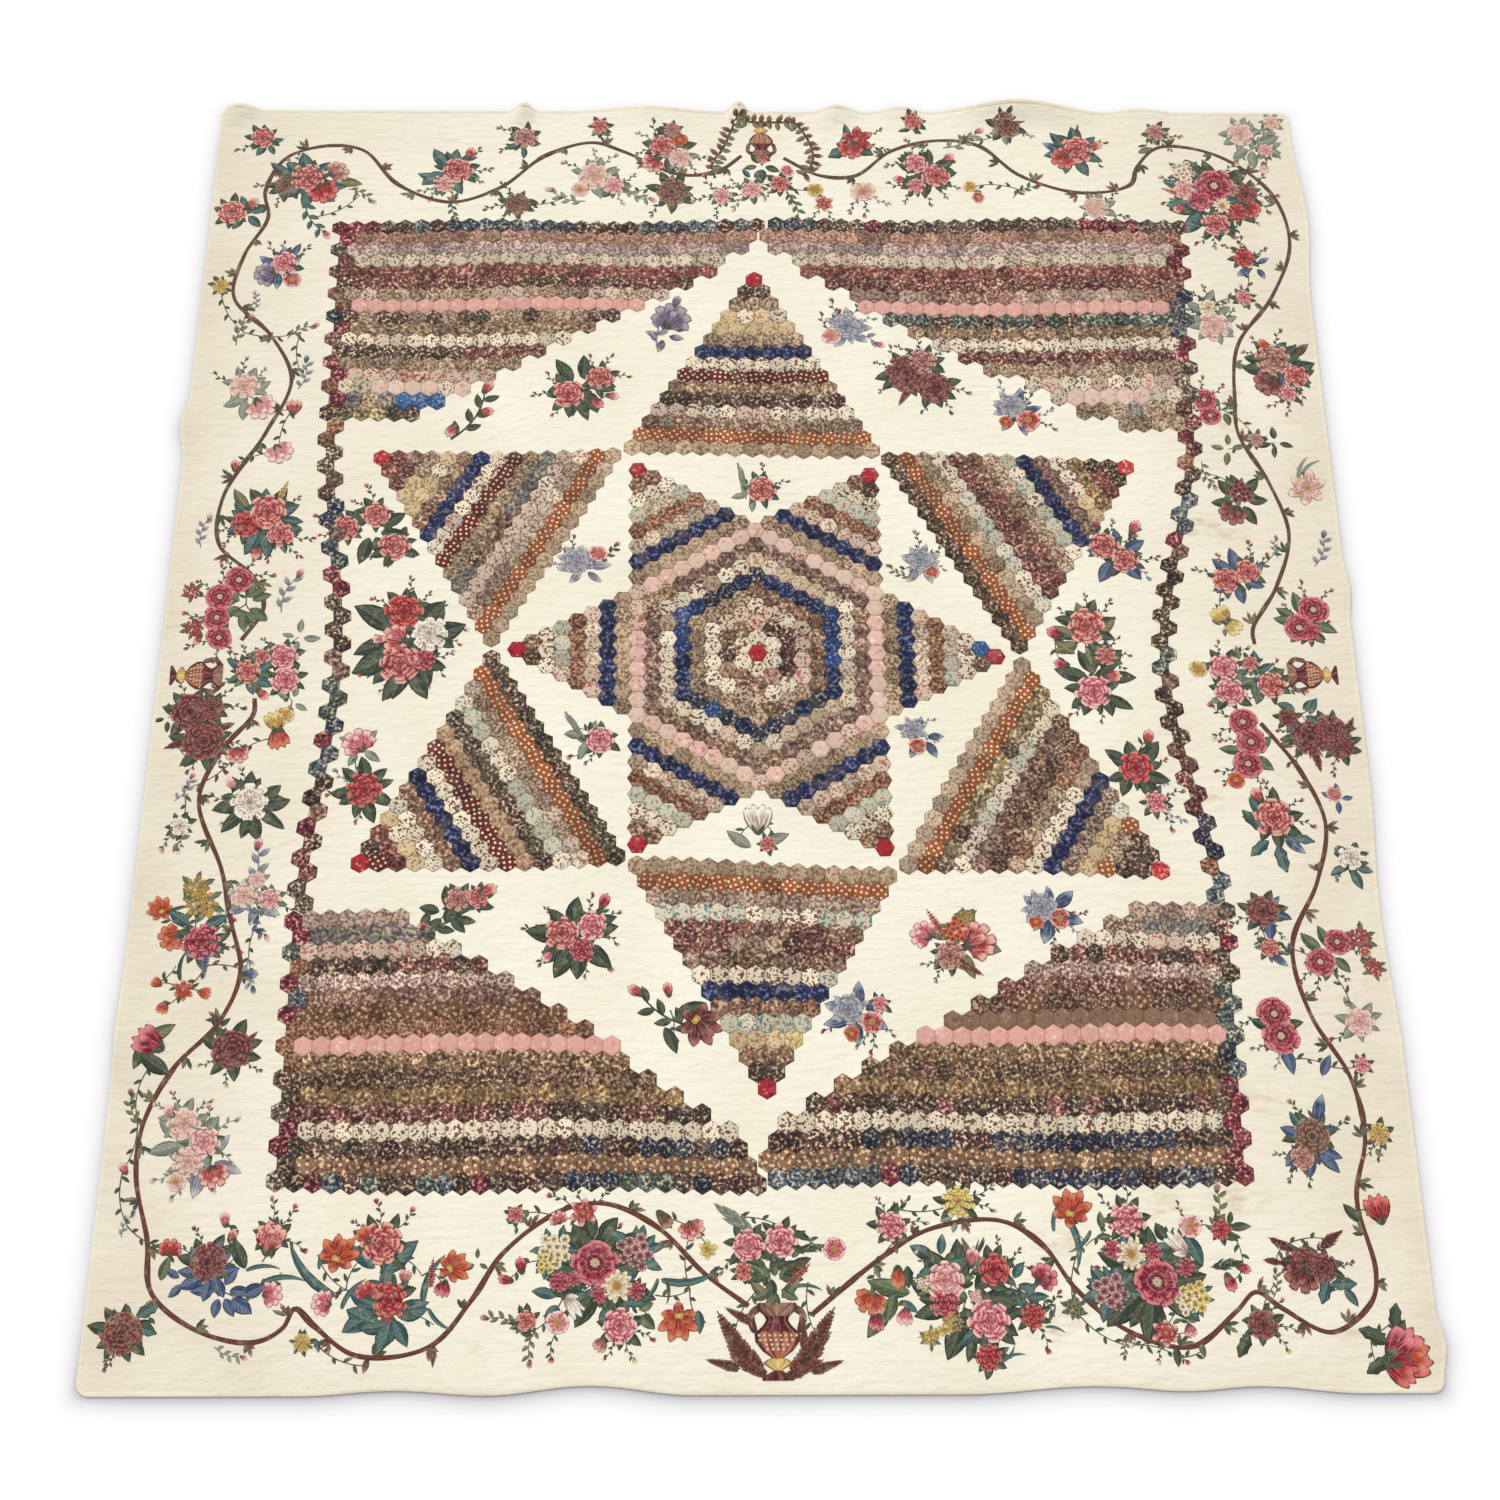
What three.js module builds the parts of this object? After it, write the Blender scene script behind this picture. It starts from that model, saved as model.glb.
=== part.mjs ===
// Applique quilt laid flat: a cream cotton cover with a hexagon mosaic in its field
// and a flowering vine, urns and flower sprays sewn round its border.
// Millimetres, +Z up, +Y towards the quilt's head end, underside at z = 0.

import * as THREE from "three";
import { mergeVertices } from "three/addons/utils/BufferGeometryUtils.js";

// Cover
const coverThickness = 3;
const corners = {
  headLeft: [-1178, 1345],
  headRight: [1250, 1396],
  footRight: [1240, -1497],
  footLeft: [-1246, -1484],
};
const cornerTrim = 14;
const edgeStep = 125;
const rimSlopes = [
  { inset: 26, lift: 0.5 },
  { inset: 62, lift: 0 },
];

// Where an edge swings out of its straight line and lifts off the surface.
// at: along the side from the middle of the quilt; out: outwards; lift: upwards
const edgeWaves = [
  { side: "head", at: -1140, half: 60, out: 6, lift: 18 },
  { side: "head", at: -505, half: 34, out: 7, lift: 22 },
  { side: "head", at: -230, half: 170, out: 12, lift: 4 },
  { side: "head", at: -20, half: 30, out: 10, lift: 26 },
  { side: "head", at: 205, half: 60, out: 8, lift: 16 },
  { side: "head", at: 350, half: 70, out: 9, lift: 9 },
  { side: "head", at: 620, half: 210, out: 20, lift: 22 },
  { side: "head", at: 905, half: 90, out: 7, lift: 6 },
  { side: "right", at: 1100, half: 220, out: 16, lift: 0 },
  { side: "right", at: 160, half: 80, out: 6, lift: 4 },
  { side: "right", at: -560, half: 300, out: -12, lift: 0 },
  { side: "right", at: -1410, half: 70, out: 12, lift: 0 },
  { side: "foot", at: 900, half: 190, out: -13, lift: 0 },
  { side: "foot", at: 590, half: 240, out: -14, lift: 0 },
  { side: "foot", at: -330, half: 190, out: -17, lift: 0 },
  { side: "foot", at: -680, half: 170, out: -9, lift: 0 },
  { side: "left", at: -800, half: 130, out: 3, lift: 5 },
  { side: "left", at: 520, half: 90, out: 12, lift: 7 },
];

// Layers on the cover
const seatGap = 0.3;
const mosaicThickness = 1;
const appliqueThickness = 0.8;

// Hexagon mosaic
const patchAcross = 36;
const rowStep = 31.2;
const starRings = 8;
const starScale = 0.985;
const triangleRows = 15;
const frameRows = 68;
const wedgeRows = 16;
// Hand piecing leaves the rows a little wavy
const rowWave = { rise: 4, length: 640, lean: 900 };

// Outer triangles of 15 rows, by the centres of their corner patches
const triangles = [
  { name: "triangle_head", apex: [8, 912], baseA: [-258, 481], baseB: [252, 484] },
  { name: "triangle_head_left", apex: [-785, 446], baseA: [-544, 25], baseB: [-299, 462] },
  { name: "triangle_foot_left", apex: [-788, -468], baseA: [-287, -449], baseB: [-543, -21] },
  { name: "triangle_foot", apex: [2, -919], baseA: [250, -484], baseB: [-246, -469] },
  { name: "triangle_foot_right", apex: [796, -470], baseA: [545, -21], baseB: [291, -462] },
  { name: "triangle_head_right", apex: [797, 453], baseA: [290, 461], baseB: [542, 25] },
];

// The mosaic's frame: its corner patches, and how far its sides draw in at the middle
const frame = {
  left: { head: [-901, 1025], foot: [-914, -1093], waist: 44 },
  right: { head: [969, 1064], foot: [905, -1099], waist: 86 },
  shoulder: 16,
  chainPitch: 36,
  chainEase: 0.997,
};

// How far the frame's rows slip towards the head end, in rows; even between the named rows
const rowSlips = {
  left: [
    { row: 0, slip: 0.3 }, { row: 6, slip: 0.72 }, { row: 14, slip: 1.1 }, { row: 16, slip: 0.9 },
    { row: 52, slip: 0.4 }, { row: 60, slip: 0.4 }, { row: 68, slip: -0.15 },
  ],
  right: [
    { row: 0, slip: 0.36 }, { row: 13, slip: 0.5 }, { row: 16, slip: 0.15 }, { row: 52, slip: 1.1 },
    { row: 60, slip: 1.0 }, { row: 68, slip: 0.2 },
  ],
};

// Corner wedges: patches in each row, from the border row to the short end
const wedges = [
  { name: "wedge_head_left", side: "left", end: "head", pitch: 35.3,
    patches: [27, 26, 26, 24, 24, 22, 21, 19, 18, 16, 15, 13, 12, 10, 9, 7, 6] },
  { name: "wedge_head_right", side: "right", end: "head", pitch: 36.4,
    patches: [26, 26, 26, 24, 24, 22, 21, 20, 19, 17, 16, 14, 13, 10, 9, 7, 5] },
  { name: "wedge_foot_left", side: "left", end: "foot", pitch: 34.4,
    patches: [27, 26, 26, 25, 24, 22, 21, 19, 19, 17, 16, 14, 13, 11, 10, 8, 7] },
  { name: "wedge_foot_right", side: "right", end: "foot", pitch: 35.5,
    patches: [26, 26, 26, 25, 24, 22, 21, 19, 18, 16, 15, 13, 12, 10, 9, 7, 6] },
];

// Vine lengths, each from urn to urn
const vines = [
  { name: "vine_head_left", width: 8, steps: 46, route: [
    [-15, 1245], [-55, 1210], [-115, 1190], [-170, 1195], [-280, 1250], [-350, 1273], [-455, 1235],
    [-555, 1145], [-665, 1105], [-780, 1150], [-860, 1240], [-945, 1250], [-1030, 1215], [-1070, 1125],
    [-1060, 1055], [-1105, 955], [-1120, 845], [-1035, 750], [-985, 640], [-1030, 510], [-1110, 350],
    [-1110, 240], [-1035, 165], [-1010, 95], [-1050, 20]] },
  { name: "vine_foot_left", width: 10, steps: 52, route: [
    [-1015, -110], [-1015, -145], [-1070, -220], [-1110, -330], [-1055, -480], [-1030, -585], [-1005, -690],
    [-1040, -790], [-1115, -875], [-1165, -985], [-1170, -1085], [-1140, -1205], [-1125, -1300], [-1035, -1370],
    [-935, -1390], [-885, -1365], [-865, -1330], [-830, -1360], [-750, -1415], [-620, -1400], [-545, -1315],
    [-490, -1230], [-380, -1150], [-300, -1140], [-205, -1185], [-120, -1270], [-40, -1330]] },
  { name: "vine_foot_right", width: 10, steps: 52, route: [
    [78, -1345], [115, -1315], [205, -1245], [300, -1190], [435, -1175], [510, -1220], [570, -1305],
    [660, -1380], [775, -1410], [865, -1345], [905, -1310], [950, -1340], [1040, -1385], [1120, -1330],
    [1135, -1275], [1115, -1135], [1145, -1015], [1130, -900], [1065, -770], [1045, -630], [1110, -495],
    [1140, -370], [1100, -255], [1030, -150]] },
  { name: "vine_head_right", width: 8, steps: 46, route: [
    [1035, 30], [1035, 65], [1095, 165], [1135, 290], [1105, 415], [1050, 535], [1050, 615],
    [1070, 760], [1160, 890], [1215, 1035], [1185, 1170], [1070, 1270], [940, 1290], [885, 1235],
    [865, 1185], [750, 1160], [615, 1205], [525, 1285], [430, 1297], [325, 1265], [240, 1195],
    [160, 1195], [80, 1240]] },
];

// Urns, each opening towards the middle of the quilt. turn: degrees, 0 opens to the head end
const urns = [
  { name: "urn_foot", at: [12, -1395], height: 140, turn: 0 },
  { name: "urn_left", at: [-1135, -60], height: 105, turn: -90 },
  { name: "urn_right", at: [1150, -40], height: 105, turn: 90 },
  { name: "urn_head", at: [30, 1290], height: 90, turn: 180 },
];
// Half of an urn's outline from its foot up, as shares of its height
const urnHalf = [
  { out: 0.2, up: -0.5 },
  { out: 0.2, up: -0.44 },
  { out: 0.07, up: -0.36 },
  { out: 0.1, up: -0.28 },
  { out: 0.27, up: -0.08 },
  { out: 0.3, up: 0.1 },
  { out: 0.4, up: 0.22 },
  { out: 0.34, up: 0.36 },
  { out: 0.2, up: 0.34 },
  { out: 0.26, up: 0.5 },
];

// The larger flower sprays, as leafy outlines. turn: degrees
const sprays = [
  { name: "spray_head_corner_left", at: [-965, 1145], size: [160, 100], turn: 22, leaves: 6 },
  { name: "spray_head_rose_left", at: [-1130, 1070], size: [86, 80], turn: 0, leaves: 5 },
  { name: "spray_head_blue_pink", at: [-1022, 925], size: [130, 100], turn: -10, leaves: 6 },
  { name: "spray_head_teal_coral", at: [-660, 1190], size: [130, 104], turn: 40, leaves: 6 },
  { name: "spray_head_faded_pink", at: [-330, 1170], size: [130, 100], turn: -20, leaves: 5 },
  { name: "spray_head_posy", at: [-160, 1272], size: [110, 76], turn: 10, leaves: 6 },
  { name: "spray_head_red", at: [208, 1280], size: [88, 72], turn: -15, leaves: 5 },
  { name: "spray_head_pink_roses", at: [405, 1205], size: [126, 100], turn: -30, leaves: 6 },
  { name: "spray_head_coral", at: [740, 1270], size: [140, 100], turn: -10, leaves: 6 },
  { name: "spray_head_bouquet", at: [1040, 1140], size: [220, 150], turn: -18, leaves: 6 },
  { name: "spray_left_roses", at: [-1005, 315], size: [150, 130], turn: 0, leaves: 6 },
  { name: "spray_left_crimson", at: [-1085, 95], size: [84, 130], turn: 12, leaves: 5 },
  { name: "spray_left_plume", at: [-1135, -170], size: [100, 90], turn: 0, leaves: 5 },
  { name: "spray_left_peony", at: [-1005, -345], size: [140, 130], turn: 15, leaves: 6 },
  { name: "spray_left_lily", at: [-1112, -590], size: [100, 150], turn: 0, leaves: 6 },
  { name: "spray_left_faded", at: [-1055, -1035], size: [150, 190], turn: 0, leaves: 6 },
  { name: "spray_foot_blue_leaf", at: [-1005, -1250], size: [190, 130], turn: -12, leaves: 6 },
  { name: "spray_foot_cone", at: [-1175, -1388], size: [80, 78], turn: 0, leaves: 5 },
  { name: "spray_foot_iris", at: [-740, -1285], size: [260, 150], turn: 0, leaves: 6 },
  { name: "spray_foot_bouquet_left", at: [-325, -1290], size: [270, 200], turn: 0, leaves: 6 },
  { name: "spray_foot_bouquet_middle", at: [365, -1315], size: [240, 200], turn: 0, leaves: 6 },
  { name: "spray_foot_bouquet_right", at: [735, -1268], size: [230, 190], turn: 0, leaves: 6 },
  { name: "spray_foot_plume", at: [1018, -1262], size: [150, 110], turn: -8, leaves: 6 },
  { name: "spray_foot_red", at: [1185, -1408], size: [84, 100], turn: 20, leaves: 5 },
  { name: "spray_right_blue_leaf", at: [1035, -1015], size: [130, 150], turn: 0, leaves: 6 },
  { name: "spray_right_peony", at: [1030, -370], size: [140, 150], turn: 10, leaves: 6 },
  { name: "spray_right_maroon", at: [1165, -185], size: [120, 96], turn: 10, leaves: 6 },
  { name: "spray_right_dark", at: [1162, 705], size: [126, 120], turn: 0, leaves: 6 },
  { name: "spray_field_head_left", at: [-370, 625], size: [150, 130], turn: 30, leaves: 6 },
  { name: "spray_field_head_right", at: [375, 670], size: [150, 130], turn: -30, leaves: 6 },
  { name: "spray_field_left", at: [-705, 30], size: [200, 190], turn: 0, leaves: 6 },
  { name: "spray_field_right", at: [695, -5], size: [190, 190], turn: 20, leaves: 6 },
  { name: "spray_field_foot_left", at: [-365, -620], size: [170, 150], turn: 0, leaves: 6 },
  { name: "spray_field_foot_right", at: [380, -625], size: [190, 150], turn: 0, leaves: 6 },
];
const leafShape = [
  { along: -0.3, reach: 0.82 },
  { along: 0, reach: 1 },
  { along: 0.3, reach: 0.82 },
  { along: 0.5, reach: 0.62 },
];

const cotton = (name, colour) => new THREE.MeshStandardMaterial({
  name, color: colour, roughness: 0.92, metalness: 0,
});
const materials = {
  ground: cotton("ground_cotton", 0xf1ead6),
  mosaic: cotton("mosaic_prints", 0x6d5243),
  vine: cotton("vine_print", 0x5b4033),
  urn: cotton("urn_print", 0x7c5a40),
  spray: cotton("flower_prints", 0xb4525a),
};

const blend = (from, to, share) => from + (to - from) * share;
const mix = (a, b, share) => [blend(a[0], b[0], share), blend(a[1], b[1], share)];
const bell = (distance) => (Math.abs(distance) < 1 ? Math.cos(distance * Math.PI / 2) ** 2 : 0);

// Cover

// Points along one straight side, with its waves worked in
function sidePoints(side, start, end) {
  const upright = side === "left" || side === "right";
  const axis = upright ? 1 : 0;
  const length = Math.hypot(end[0] - start[0], end[1] - start[1]);
  const waves = edgeWaves.filter((wave) => wave.side === side);
  const shares = [cornerTrim / length, 1 - cornerTrim / length];
  for (let run = edgeStep; run < length - edgeStep / 2; run += edgeStep) shares.push(run / length);
  for (const wave of waves) {
    for (const part of [-1, -0.5, 0, 0.5, 1]) {
      shares.push((wave.at + part * wave.half - start[axis]) / (end[axis] - start[axis]));
    }
  }
  const kept = shares.filter((share) => share >= shares[0] && share <= shares[1]).sort((a, b) => a - b);
  const apart = kept.filter((share, i) => i === 0 || (share - kept[i - 1]) * length > 6);
  const outward = [(end[1] - start[1]) / length, -(end[0] - start[0]) / length];
  return apart.map((share) => {
    const [x, y] = mix(start, end, share);
    let out = 0;
    let lift = 0;
    for (const wave of waves) {
      const strength = bell(((upright ? y : x) - wave.at) / wave.half);
      out += wave.out * strength;
      lift += wave.lift * strength;
    }
    return { x: x + outward[0] * out, y: y + outward[1] * out, lift };
  });
}

function coverOutline() {
  return [
    ...sidePoints("foot", corners.footLeft, corners.footRight),
    ...sidePoints("right", corners.footRight, corners.headRight),
    ...sidePoints("head", corners.headRight, corners.headLeft),
    ...sidePoints("left", corners.headLeft, corners.footLeft),
  ];
}

// Rings of points from the outline inwards, above and below, closed by two flat middles
function coverGeometry(outline) {
  const halfWidth = (corners.headRight[0] - corners.headLeft[0]) / 2;
  const halfLength = (corners.headLeft[1] - corners.footLeft[1]) / 2;
  const inner = rimSlopes.map(({ inset, lift }) => outline.map((point) => ({
    x: point.x * (1 - inset / halfWidth),
    y: point.y * (1 - inset / halfLength),
    lift: point.lift * lift,
  })));
  const rings = [outline, ...inner];
  const count = outline.length;
  const positions = [];
  for (const height of [0, coverThickness]) {
    for (const ring of rings) {
      for (const point of ring) positions.push(point.x, point.y, point.lift + height);
    }
  }
  const topStart = rings.length * count;
  const faces = [];
  const band = (a, b, flip) => {
    for (let i = 0; i < count; i += 1) {
      const j = (i + 1) % count;
      if (flip) faces.push(a + i, b + j, a + j, a + i, b + i, b + j);
      else faces.push(a + i, a + j, b + j, a + i, b + j, b + i);
    }
  };
  band(0, topStart, false);
  for (let ring = 0; ring < rings.length - 1; ring += 1) {
    band(topStart + ring * count, topStart + (ring + 1) * count, false);
    band(ring * count, (ring + 1) * count, true);
  }
  const middleRing = (rings.length - 1) * count;
  const flat = rings[rings.length - 1].map((point) => new THREE.Vector2(point.x, point.y));
  for (const [a, b, c] of THREE.ShapeUtils.triangulateShape(flat, [])) {
    faces.push(topStart + middleRing + a, topStart + middleRing + b, topStart + middleRing + c);
    faces.push(middleRing + a, middleRing + c, middleRing + b);
  }
  const geometry = new THREE.BufferGeometry();
  geometry.setAttribute("position", new THREE.Float32BufferAttribute(positions, 3));
  geometry.setIndex(faces);
  geometry.computeVertexNormals();
  return geometry;
}

// Flat pieces cut from an outline and laid on the cover
function flatPiece(outline, thickness) {
  const shape = new THREE.Shape(outline.map(([x, y]) => new THREE.Vector2(x, y)));
  const geometry = new THREE.ExtrudeGeometry(shape, { depth: thickness, bevelEnabled: false, steps: 1 });
  geometry.translate(0, 0, coverThickness + seatGap);
  geometry.deleteAttribute("uv");
  geometry.deleteAttribute("normal");
  const merged = mergeVertices(geometry, 0.001);
  merged.computeVertexNormals();
  return merged;
}

// Hexagon cells are [u, v]: v counts rows and u counts half pitches along a row.
// A cell's six corners, with v in thirds of a row
const cellCorners = [[0, 2], [-1, 1], [-1, -1], [0, -2], [1, -1], [1, 1]];

const wavy = ([x, y]) => [
  x,
  y + rowWave.rise * Math.sin(2 * Math.PI * (x / rowWave.length + y / rowWave.lean)),
];

// The stepped outline round a block of cells, placed by the block's own rule
function blockOutline(cells, place) {
  const next = new Map();
  for (const [u, v] of cells) {
    cellCorners.forEach(([du, dv], i) => {
      const [eu, ev] = cellCorners[(i + 1) % 6];
      const from = `${u + du},${3 * v + dv}`;
      const to = `${u + eu},${3 * v + ev}`;
      const back = next.get(to);
      if (back && back.has(from)) back.delete(from);
      else {
        if (!next.has(from)) next.set(from, new Set());
        next.get(from).add(to);
      }
    });
  }
  const start = [...next.keys()].find((key) => next.get(key).size === 1);
  const outline = [];
  let key = start;
  do {
    const [u, thirds] = key.split(",").map(Number);
    outline.push(wavy(place(u, thirds / 3)));
    [key] = next.get(key);
  } while (key !== start);
  return outline;
}

// The middle star: columns stand upright, so v runs along X and u along Y
function starOutline() {
  const cells = [];
  const reach = 2 * starRings;
  for (let v = -reach; v <= reach; v += 1) {
    for (let u = -2 * reach; u <= 2 * reach; u += 1) {
      if ((u - v) % 2 !== 0) continue;
      const thirds = [v, (u - v) / 2, -(u + v) / 2];
      if (Math.max(...thirds) <= starRings || Math.min(...thirds) >= -starRings) cells.push([u, v]);
    }
  }
  return blockOutline(cells, (u, v) => [v * rowStep * starScale, u * patchAcross / 2 * starScale]);
}

function triangleOutline({ apex, baseA, baseB }) {
  const rows = triangleRows - 1;
  const cells = [];
  for (let v = 0; v <= rows; v += 1) {
    for (let k = 0; k <= rows - v; k += 1) cells.push([2 * k + v, v]);
  }
  return blockOutline(cells, (u, v) => [0, 1].map((axis) => baseA[axis]
    + (baseB[axis] - baseA[axis]) * (u - v) / (2 * rows)
    + (apex[axis] - baseA[axis]) * v / rows));
}

// The frame's lattice: row v counts down from the head row, u counts inwards from the side
const waistAt = (v) => bell((v - frameRows / 2) / (frameRows / 2 - frame.shoulder));
const sideAt = (side, v) => {
  const { head, foot, waist } = frame[side];
  const inward = side === "left" ? 1 : -1;
  return blend(head[0], foot[0], v / frameRows) + inward * waist * waistAt(v);
};
const slipAt = (side, row) => {
  const slips = rowSlips[side];
  const after = slips.slice(1).find((place) => place.row > row) ?? slips.at(-1);
  const before = slips[slips.indexOf(after) - 1];
  return blend(before.slip, after.slip, (row - before.row) / (after.row - before.row));
};
const framePlace = (side, pitch, u, row) => {
  const v = row - slipAt(side, row);
  const inward = side === "left" ? 1 : -1;
  const x = sideAt(side, v) + inward * pitch * u / 2;
  const across = (x - frame.left.head[0]) / (frame.right.head[0] - frame.left.head[0]);
  const headY = blend(frame.left.head[1], frame.right.head[1], across);
  const footY = blend(frame.left.foot[1], frame.right.foot[1], across);
  return [x, blend(headY, footY, v / frameRows)];
};

function wedgeOutline({ side, end, pitch, patches }) {
  const cells = [];
  patches.forEach((count, row) => {
    const v = end === "head" ? row : frameRows - row;
    for (let k = 0; k < count; k += 1) cells.push([2 * k + row % 2, v]);
  });
  return blockOutline(cells, (u, v) => framePlace(side, pitch, u, v));
}

// A side chain: one patch a row, left and right by turns, between two wedges
function chainOutline(side) {
  const cells = [];
  for (let v = wedgeRows + 1; v < frameRows - wedgeRows; v += 1) cells.push([v % 2, v]);
  const middle = frameRows / 2;
  return blockOutline(cells, (u, v) => framePlace(
    side, frame.chainPitch, u, middle + (v - middle) * frame.chainEase,
  ));
}

// A ribbon of even width along a smooth route
function vineOutline({ route, width, steps }) {
  const curve = new THREE.CatmullRomCurve3(route.map(([x, y]) => new THREE.Vector3(x, y, 0)), false, "centripetal");
  const left = [];
  const right = [];
  for (let i = 0; i <= steps; i += 1) {
    const point = curve.getPointAt(i / steps);
    const along = curve.getTangentAt(i / steps);
    left.push([point.x - along.y * width / 2, point.y + along.x * width / 2]);
    right.push([point.x + along.y * width / 2, point.y - along.x * width / 2]);
  }
  return [...right, ...left.reverse()];
}

function turned([x, y], degrees, at) {
  const angle = THREE.MathUtils.degToRad(degrees);
  return [
    at[0] + x * Math.cos(angle) - y * Math.sin(angle),
    at[1] + x * Math.sin(angle) + y * Math.cos(angle),
  ];
}

function urnOutline({ at, height, turn }) {
  const right = urnHalf.map(({ out, up }) => [out * height, up * height]);
  const left = urnHalf.map(({ out, up }) => [-out * height, up * height]).reverse();
  return [...right, ...left].map((point) => turned(point, turn, at));
}

function sprayOutline({ at, size, turn, leaves }) {
  const step = 2 * Math.PI / leaves;
  const points = [];
  for (let leaf = 0; leaf < leaves; leaf += 1) {
    for (const { along, reach } of leafShape) {
      const angle = (leaf + along) * step;
      points.push([Math.cos(angle) * reach * size[0] / 2, Math.sin(angle) * reach * size[1] / 2]);
    }
  }
  return points.map((point) => turned(point, turn, at));
}

const quilt = new THREE.Group();
const outline = coverOutline();

function add(name, geometry, material) {
  const mesh = new THREE.Mesh(geometry, material);
  mesh.name = name;
  quilt.add(mesh);
}

add("cover", coverGeometry(outline), materials.ground);
add("mosaic_star", flatPiece(starOutline(), mosaicThickness), materials.mosaic);
for (const triangle of triangles) {
  add(triangle.name, flatPiece(triangleOutline(triangle), mosaicThickness), materials.mosaic);
}
for (const wedge of wedges) {
  add(wedge.name, flatPiece(wedgeOutline(wedge), mosaicThickness), materials.mosaic);
}
for (const side of ["left", "right"]) {
  add(`chain_${side}`, flatPiece(chainOutline(side), mosaicThickness), materials.mosaic);
}
for (const vine of vines) add(vine.name, flatPiece(vineOutline(vine), appliqueThickness), materials.vine);
for (const urn of urns) add(urn.name, flatPiece(urnOutline(urn), appliqueThickness), materials.urn);
for (const spray of sprays) {
  add(spray.name, flatPiece(sprayOutline(spray), appliqueThickness), materials.spray);
}

// The origin is the middle of the quilt's box, on the surface it lies on
const middleOf = (axis) => {
  const values = outline.map((point) => point[axis]);
  return (Math.min(...values) + Math.max(...values)) / 2;
};
quilt.position.set(-middleOf("x"), -middleOf("y"), 0);

export default quilt;
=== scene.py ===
import math
import random

import bpy
import numpy as np
from mathutils import Matrix, Vector


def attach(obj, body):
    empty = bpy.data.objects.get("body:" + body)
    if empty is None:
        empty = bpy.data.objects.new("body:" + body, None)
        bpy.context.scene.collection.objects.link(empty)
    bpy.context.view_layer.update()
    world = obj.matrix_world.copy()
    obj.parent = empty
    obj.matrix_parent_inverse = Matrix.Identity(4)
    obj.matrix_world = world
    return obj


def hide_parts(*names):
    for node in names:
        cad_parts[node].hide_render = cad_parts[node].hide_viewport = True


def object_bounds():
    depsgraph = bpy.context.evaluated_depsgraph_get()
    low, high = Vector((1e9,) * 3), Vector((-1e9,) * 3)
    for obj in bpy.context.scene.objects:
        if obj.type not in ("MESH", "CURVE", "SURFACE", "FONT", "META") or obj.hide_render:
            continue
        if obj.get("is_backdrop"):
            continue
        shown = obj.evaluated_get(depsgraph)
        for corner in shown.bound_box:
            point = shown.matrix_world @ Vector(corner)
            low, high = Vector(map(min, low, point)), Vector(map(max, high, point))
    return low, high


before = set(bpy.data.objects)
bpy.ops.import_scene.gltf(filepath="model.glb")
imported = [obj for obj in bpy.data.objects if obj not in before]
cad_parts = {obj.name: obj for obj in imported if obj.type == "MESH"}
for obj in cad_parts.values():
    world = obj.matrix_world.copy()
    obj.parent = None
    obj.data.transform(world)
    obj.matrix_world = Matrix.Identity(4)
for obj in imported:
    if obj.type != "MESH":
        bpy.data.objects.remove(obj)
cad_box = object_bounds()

MM = 0.001
STAR_AT = np.array([-9.657, 47.043])  # the star's middle in the frame, mm
# Where the random draws of each kind of piece start
SEEDS = {"swell": 11, "star": 3, "triangles": 20, "wedges": 40, "chains": 60, "vines": 80, "urns": 90,
         "sprays": 100, "sprigs": 200}

# Heights of the layers, mm
COVER_TOP = 3.0
COVER_SINK = 0.15
PATCH_LOW = 3.1
PATCH_HIGH = 4.3
APPLIQUE_LOW = 3.15
LAYER_STEP = 0.1
PUFF = 0.45

# Camera, as worked out from the photograph; its sight in metres
PHOTO = 1500
FOCAL = 2465.55
SENSOR = 36.0
SIGHT = (0.05, 50)
CAMERA_AT = Vector((-0.2958, -2.1618, 4.5478))
LOOK = Vector((0.05374592, 0.40090403, -0.91454214))
RIGHT = Vector((0.99853738, -0.01619228, 0.05158402))
UP = RIGHT.cross(LOOK)


def make_camera():
    data = bpy.data.cameras.new("camera")
    data.sensor_width = SENSOR
    data.lens = FOCAL / PHOTO * SENSOR
    data.clip_start, data.clip_end = SIGHT
    camera = bpy.data.objects.new("camera", data)
    turn = Matrix((RIGHT, UP, -LOOK)).transposed().to_4x4()
    camera.matrix_world = Matrix.Translation(CAMERA_AT) @ turn
    bpy.context.scene.collection.objects.link(camera)
    bpy.context.scene.camera = camera


def on_quilt(photo_x, photo_y):
    """Where a point of the photograph lies on the quilt, in mm in the frame."""
    ray = LOOK + RIGHT * ((photo_x - PHOTO / 2) / FOCAL) - UP * ((photo_y - PHOTO / 2) / FOCAL)
    height = COVER_TOP
    for _ in range(LIFT_TRIES):
        run = (height * MM - CAMERA_AT.z) / ray.z
        hit = CAMERA_AT + ray * run
        at = np.array([hit.x, hit.y]) / MM
        if room(at) > LIFT_REACH:
            break
        height = COVER_TOP + edge_lift(at[0], at[1])
    return at


def photo_scale(photo_x, photo_y):
    """How many mm one pixel of the photograph covers across the quilt."""
    return on_quilt(photo_x + 0.5, photo_y)[0] - on_quilt(photo_x - 0.5, photo_y)[0]


# The quilt's gentle swell, mm: long low waves that every layer follows
SWELLS = 26
SWELL_LENGTHS = (110, 520)
SWELL_RISE = 0.0011
SWELL_HALF = 0.6


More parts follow.
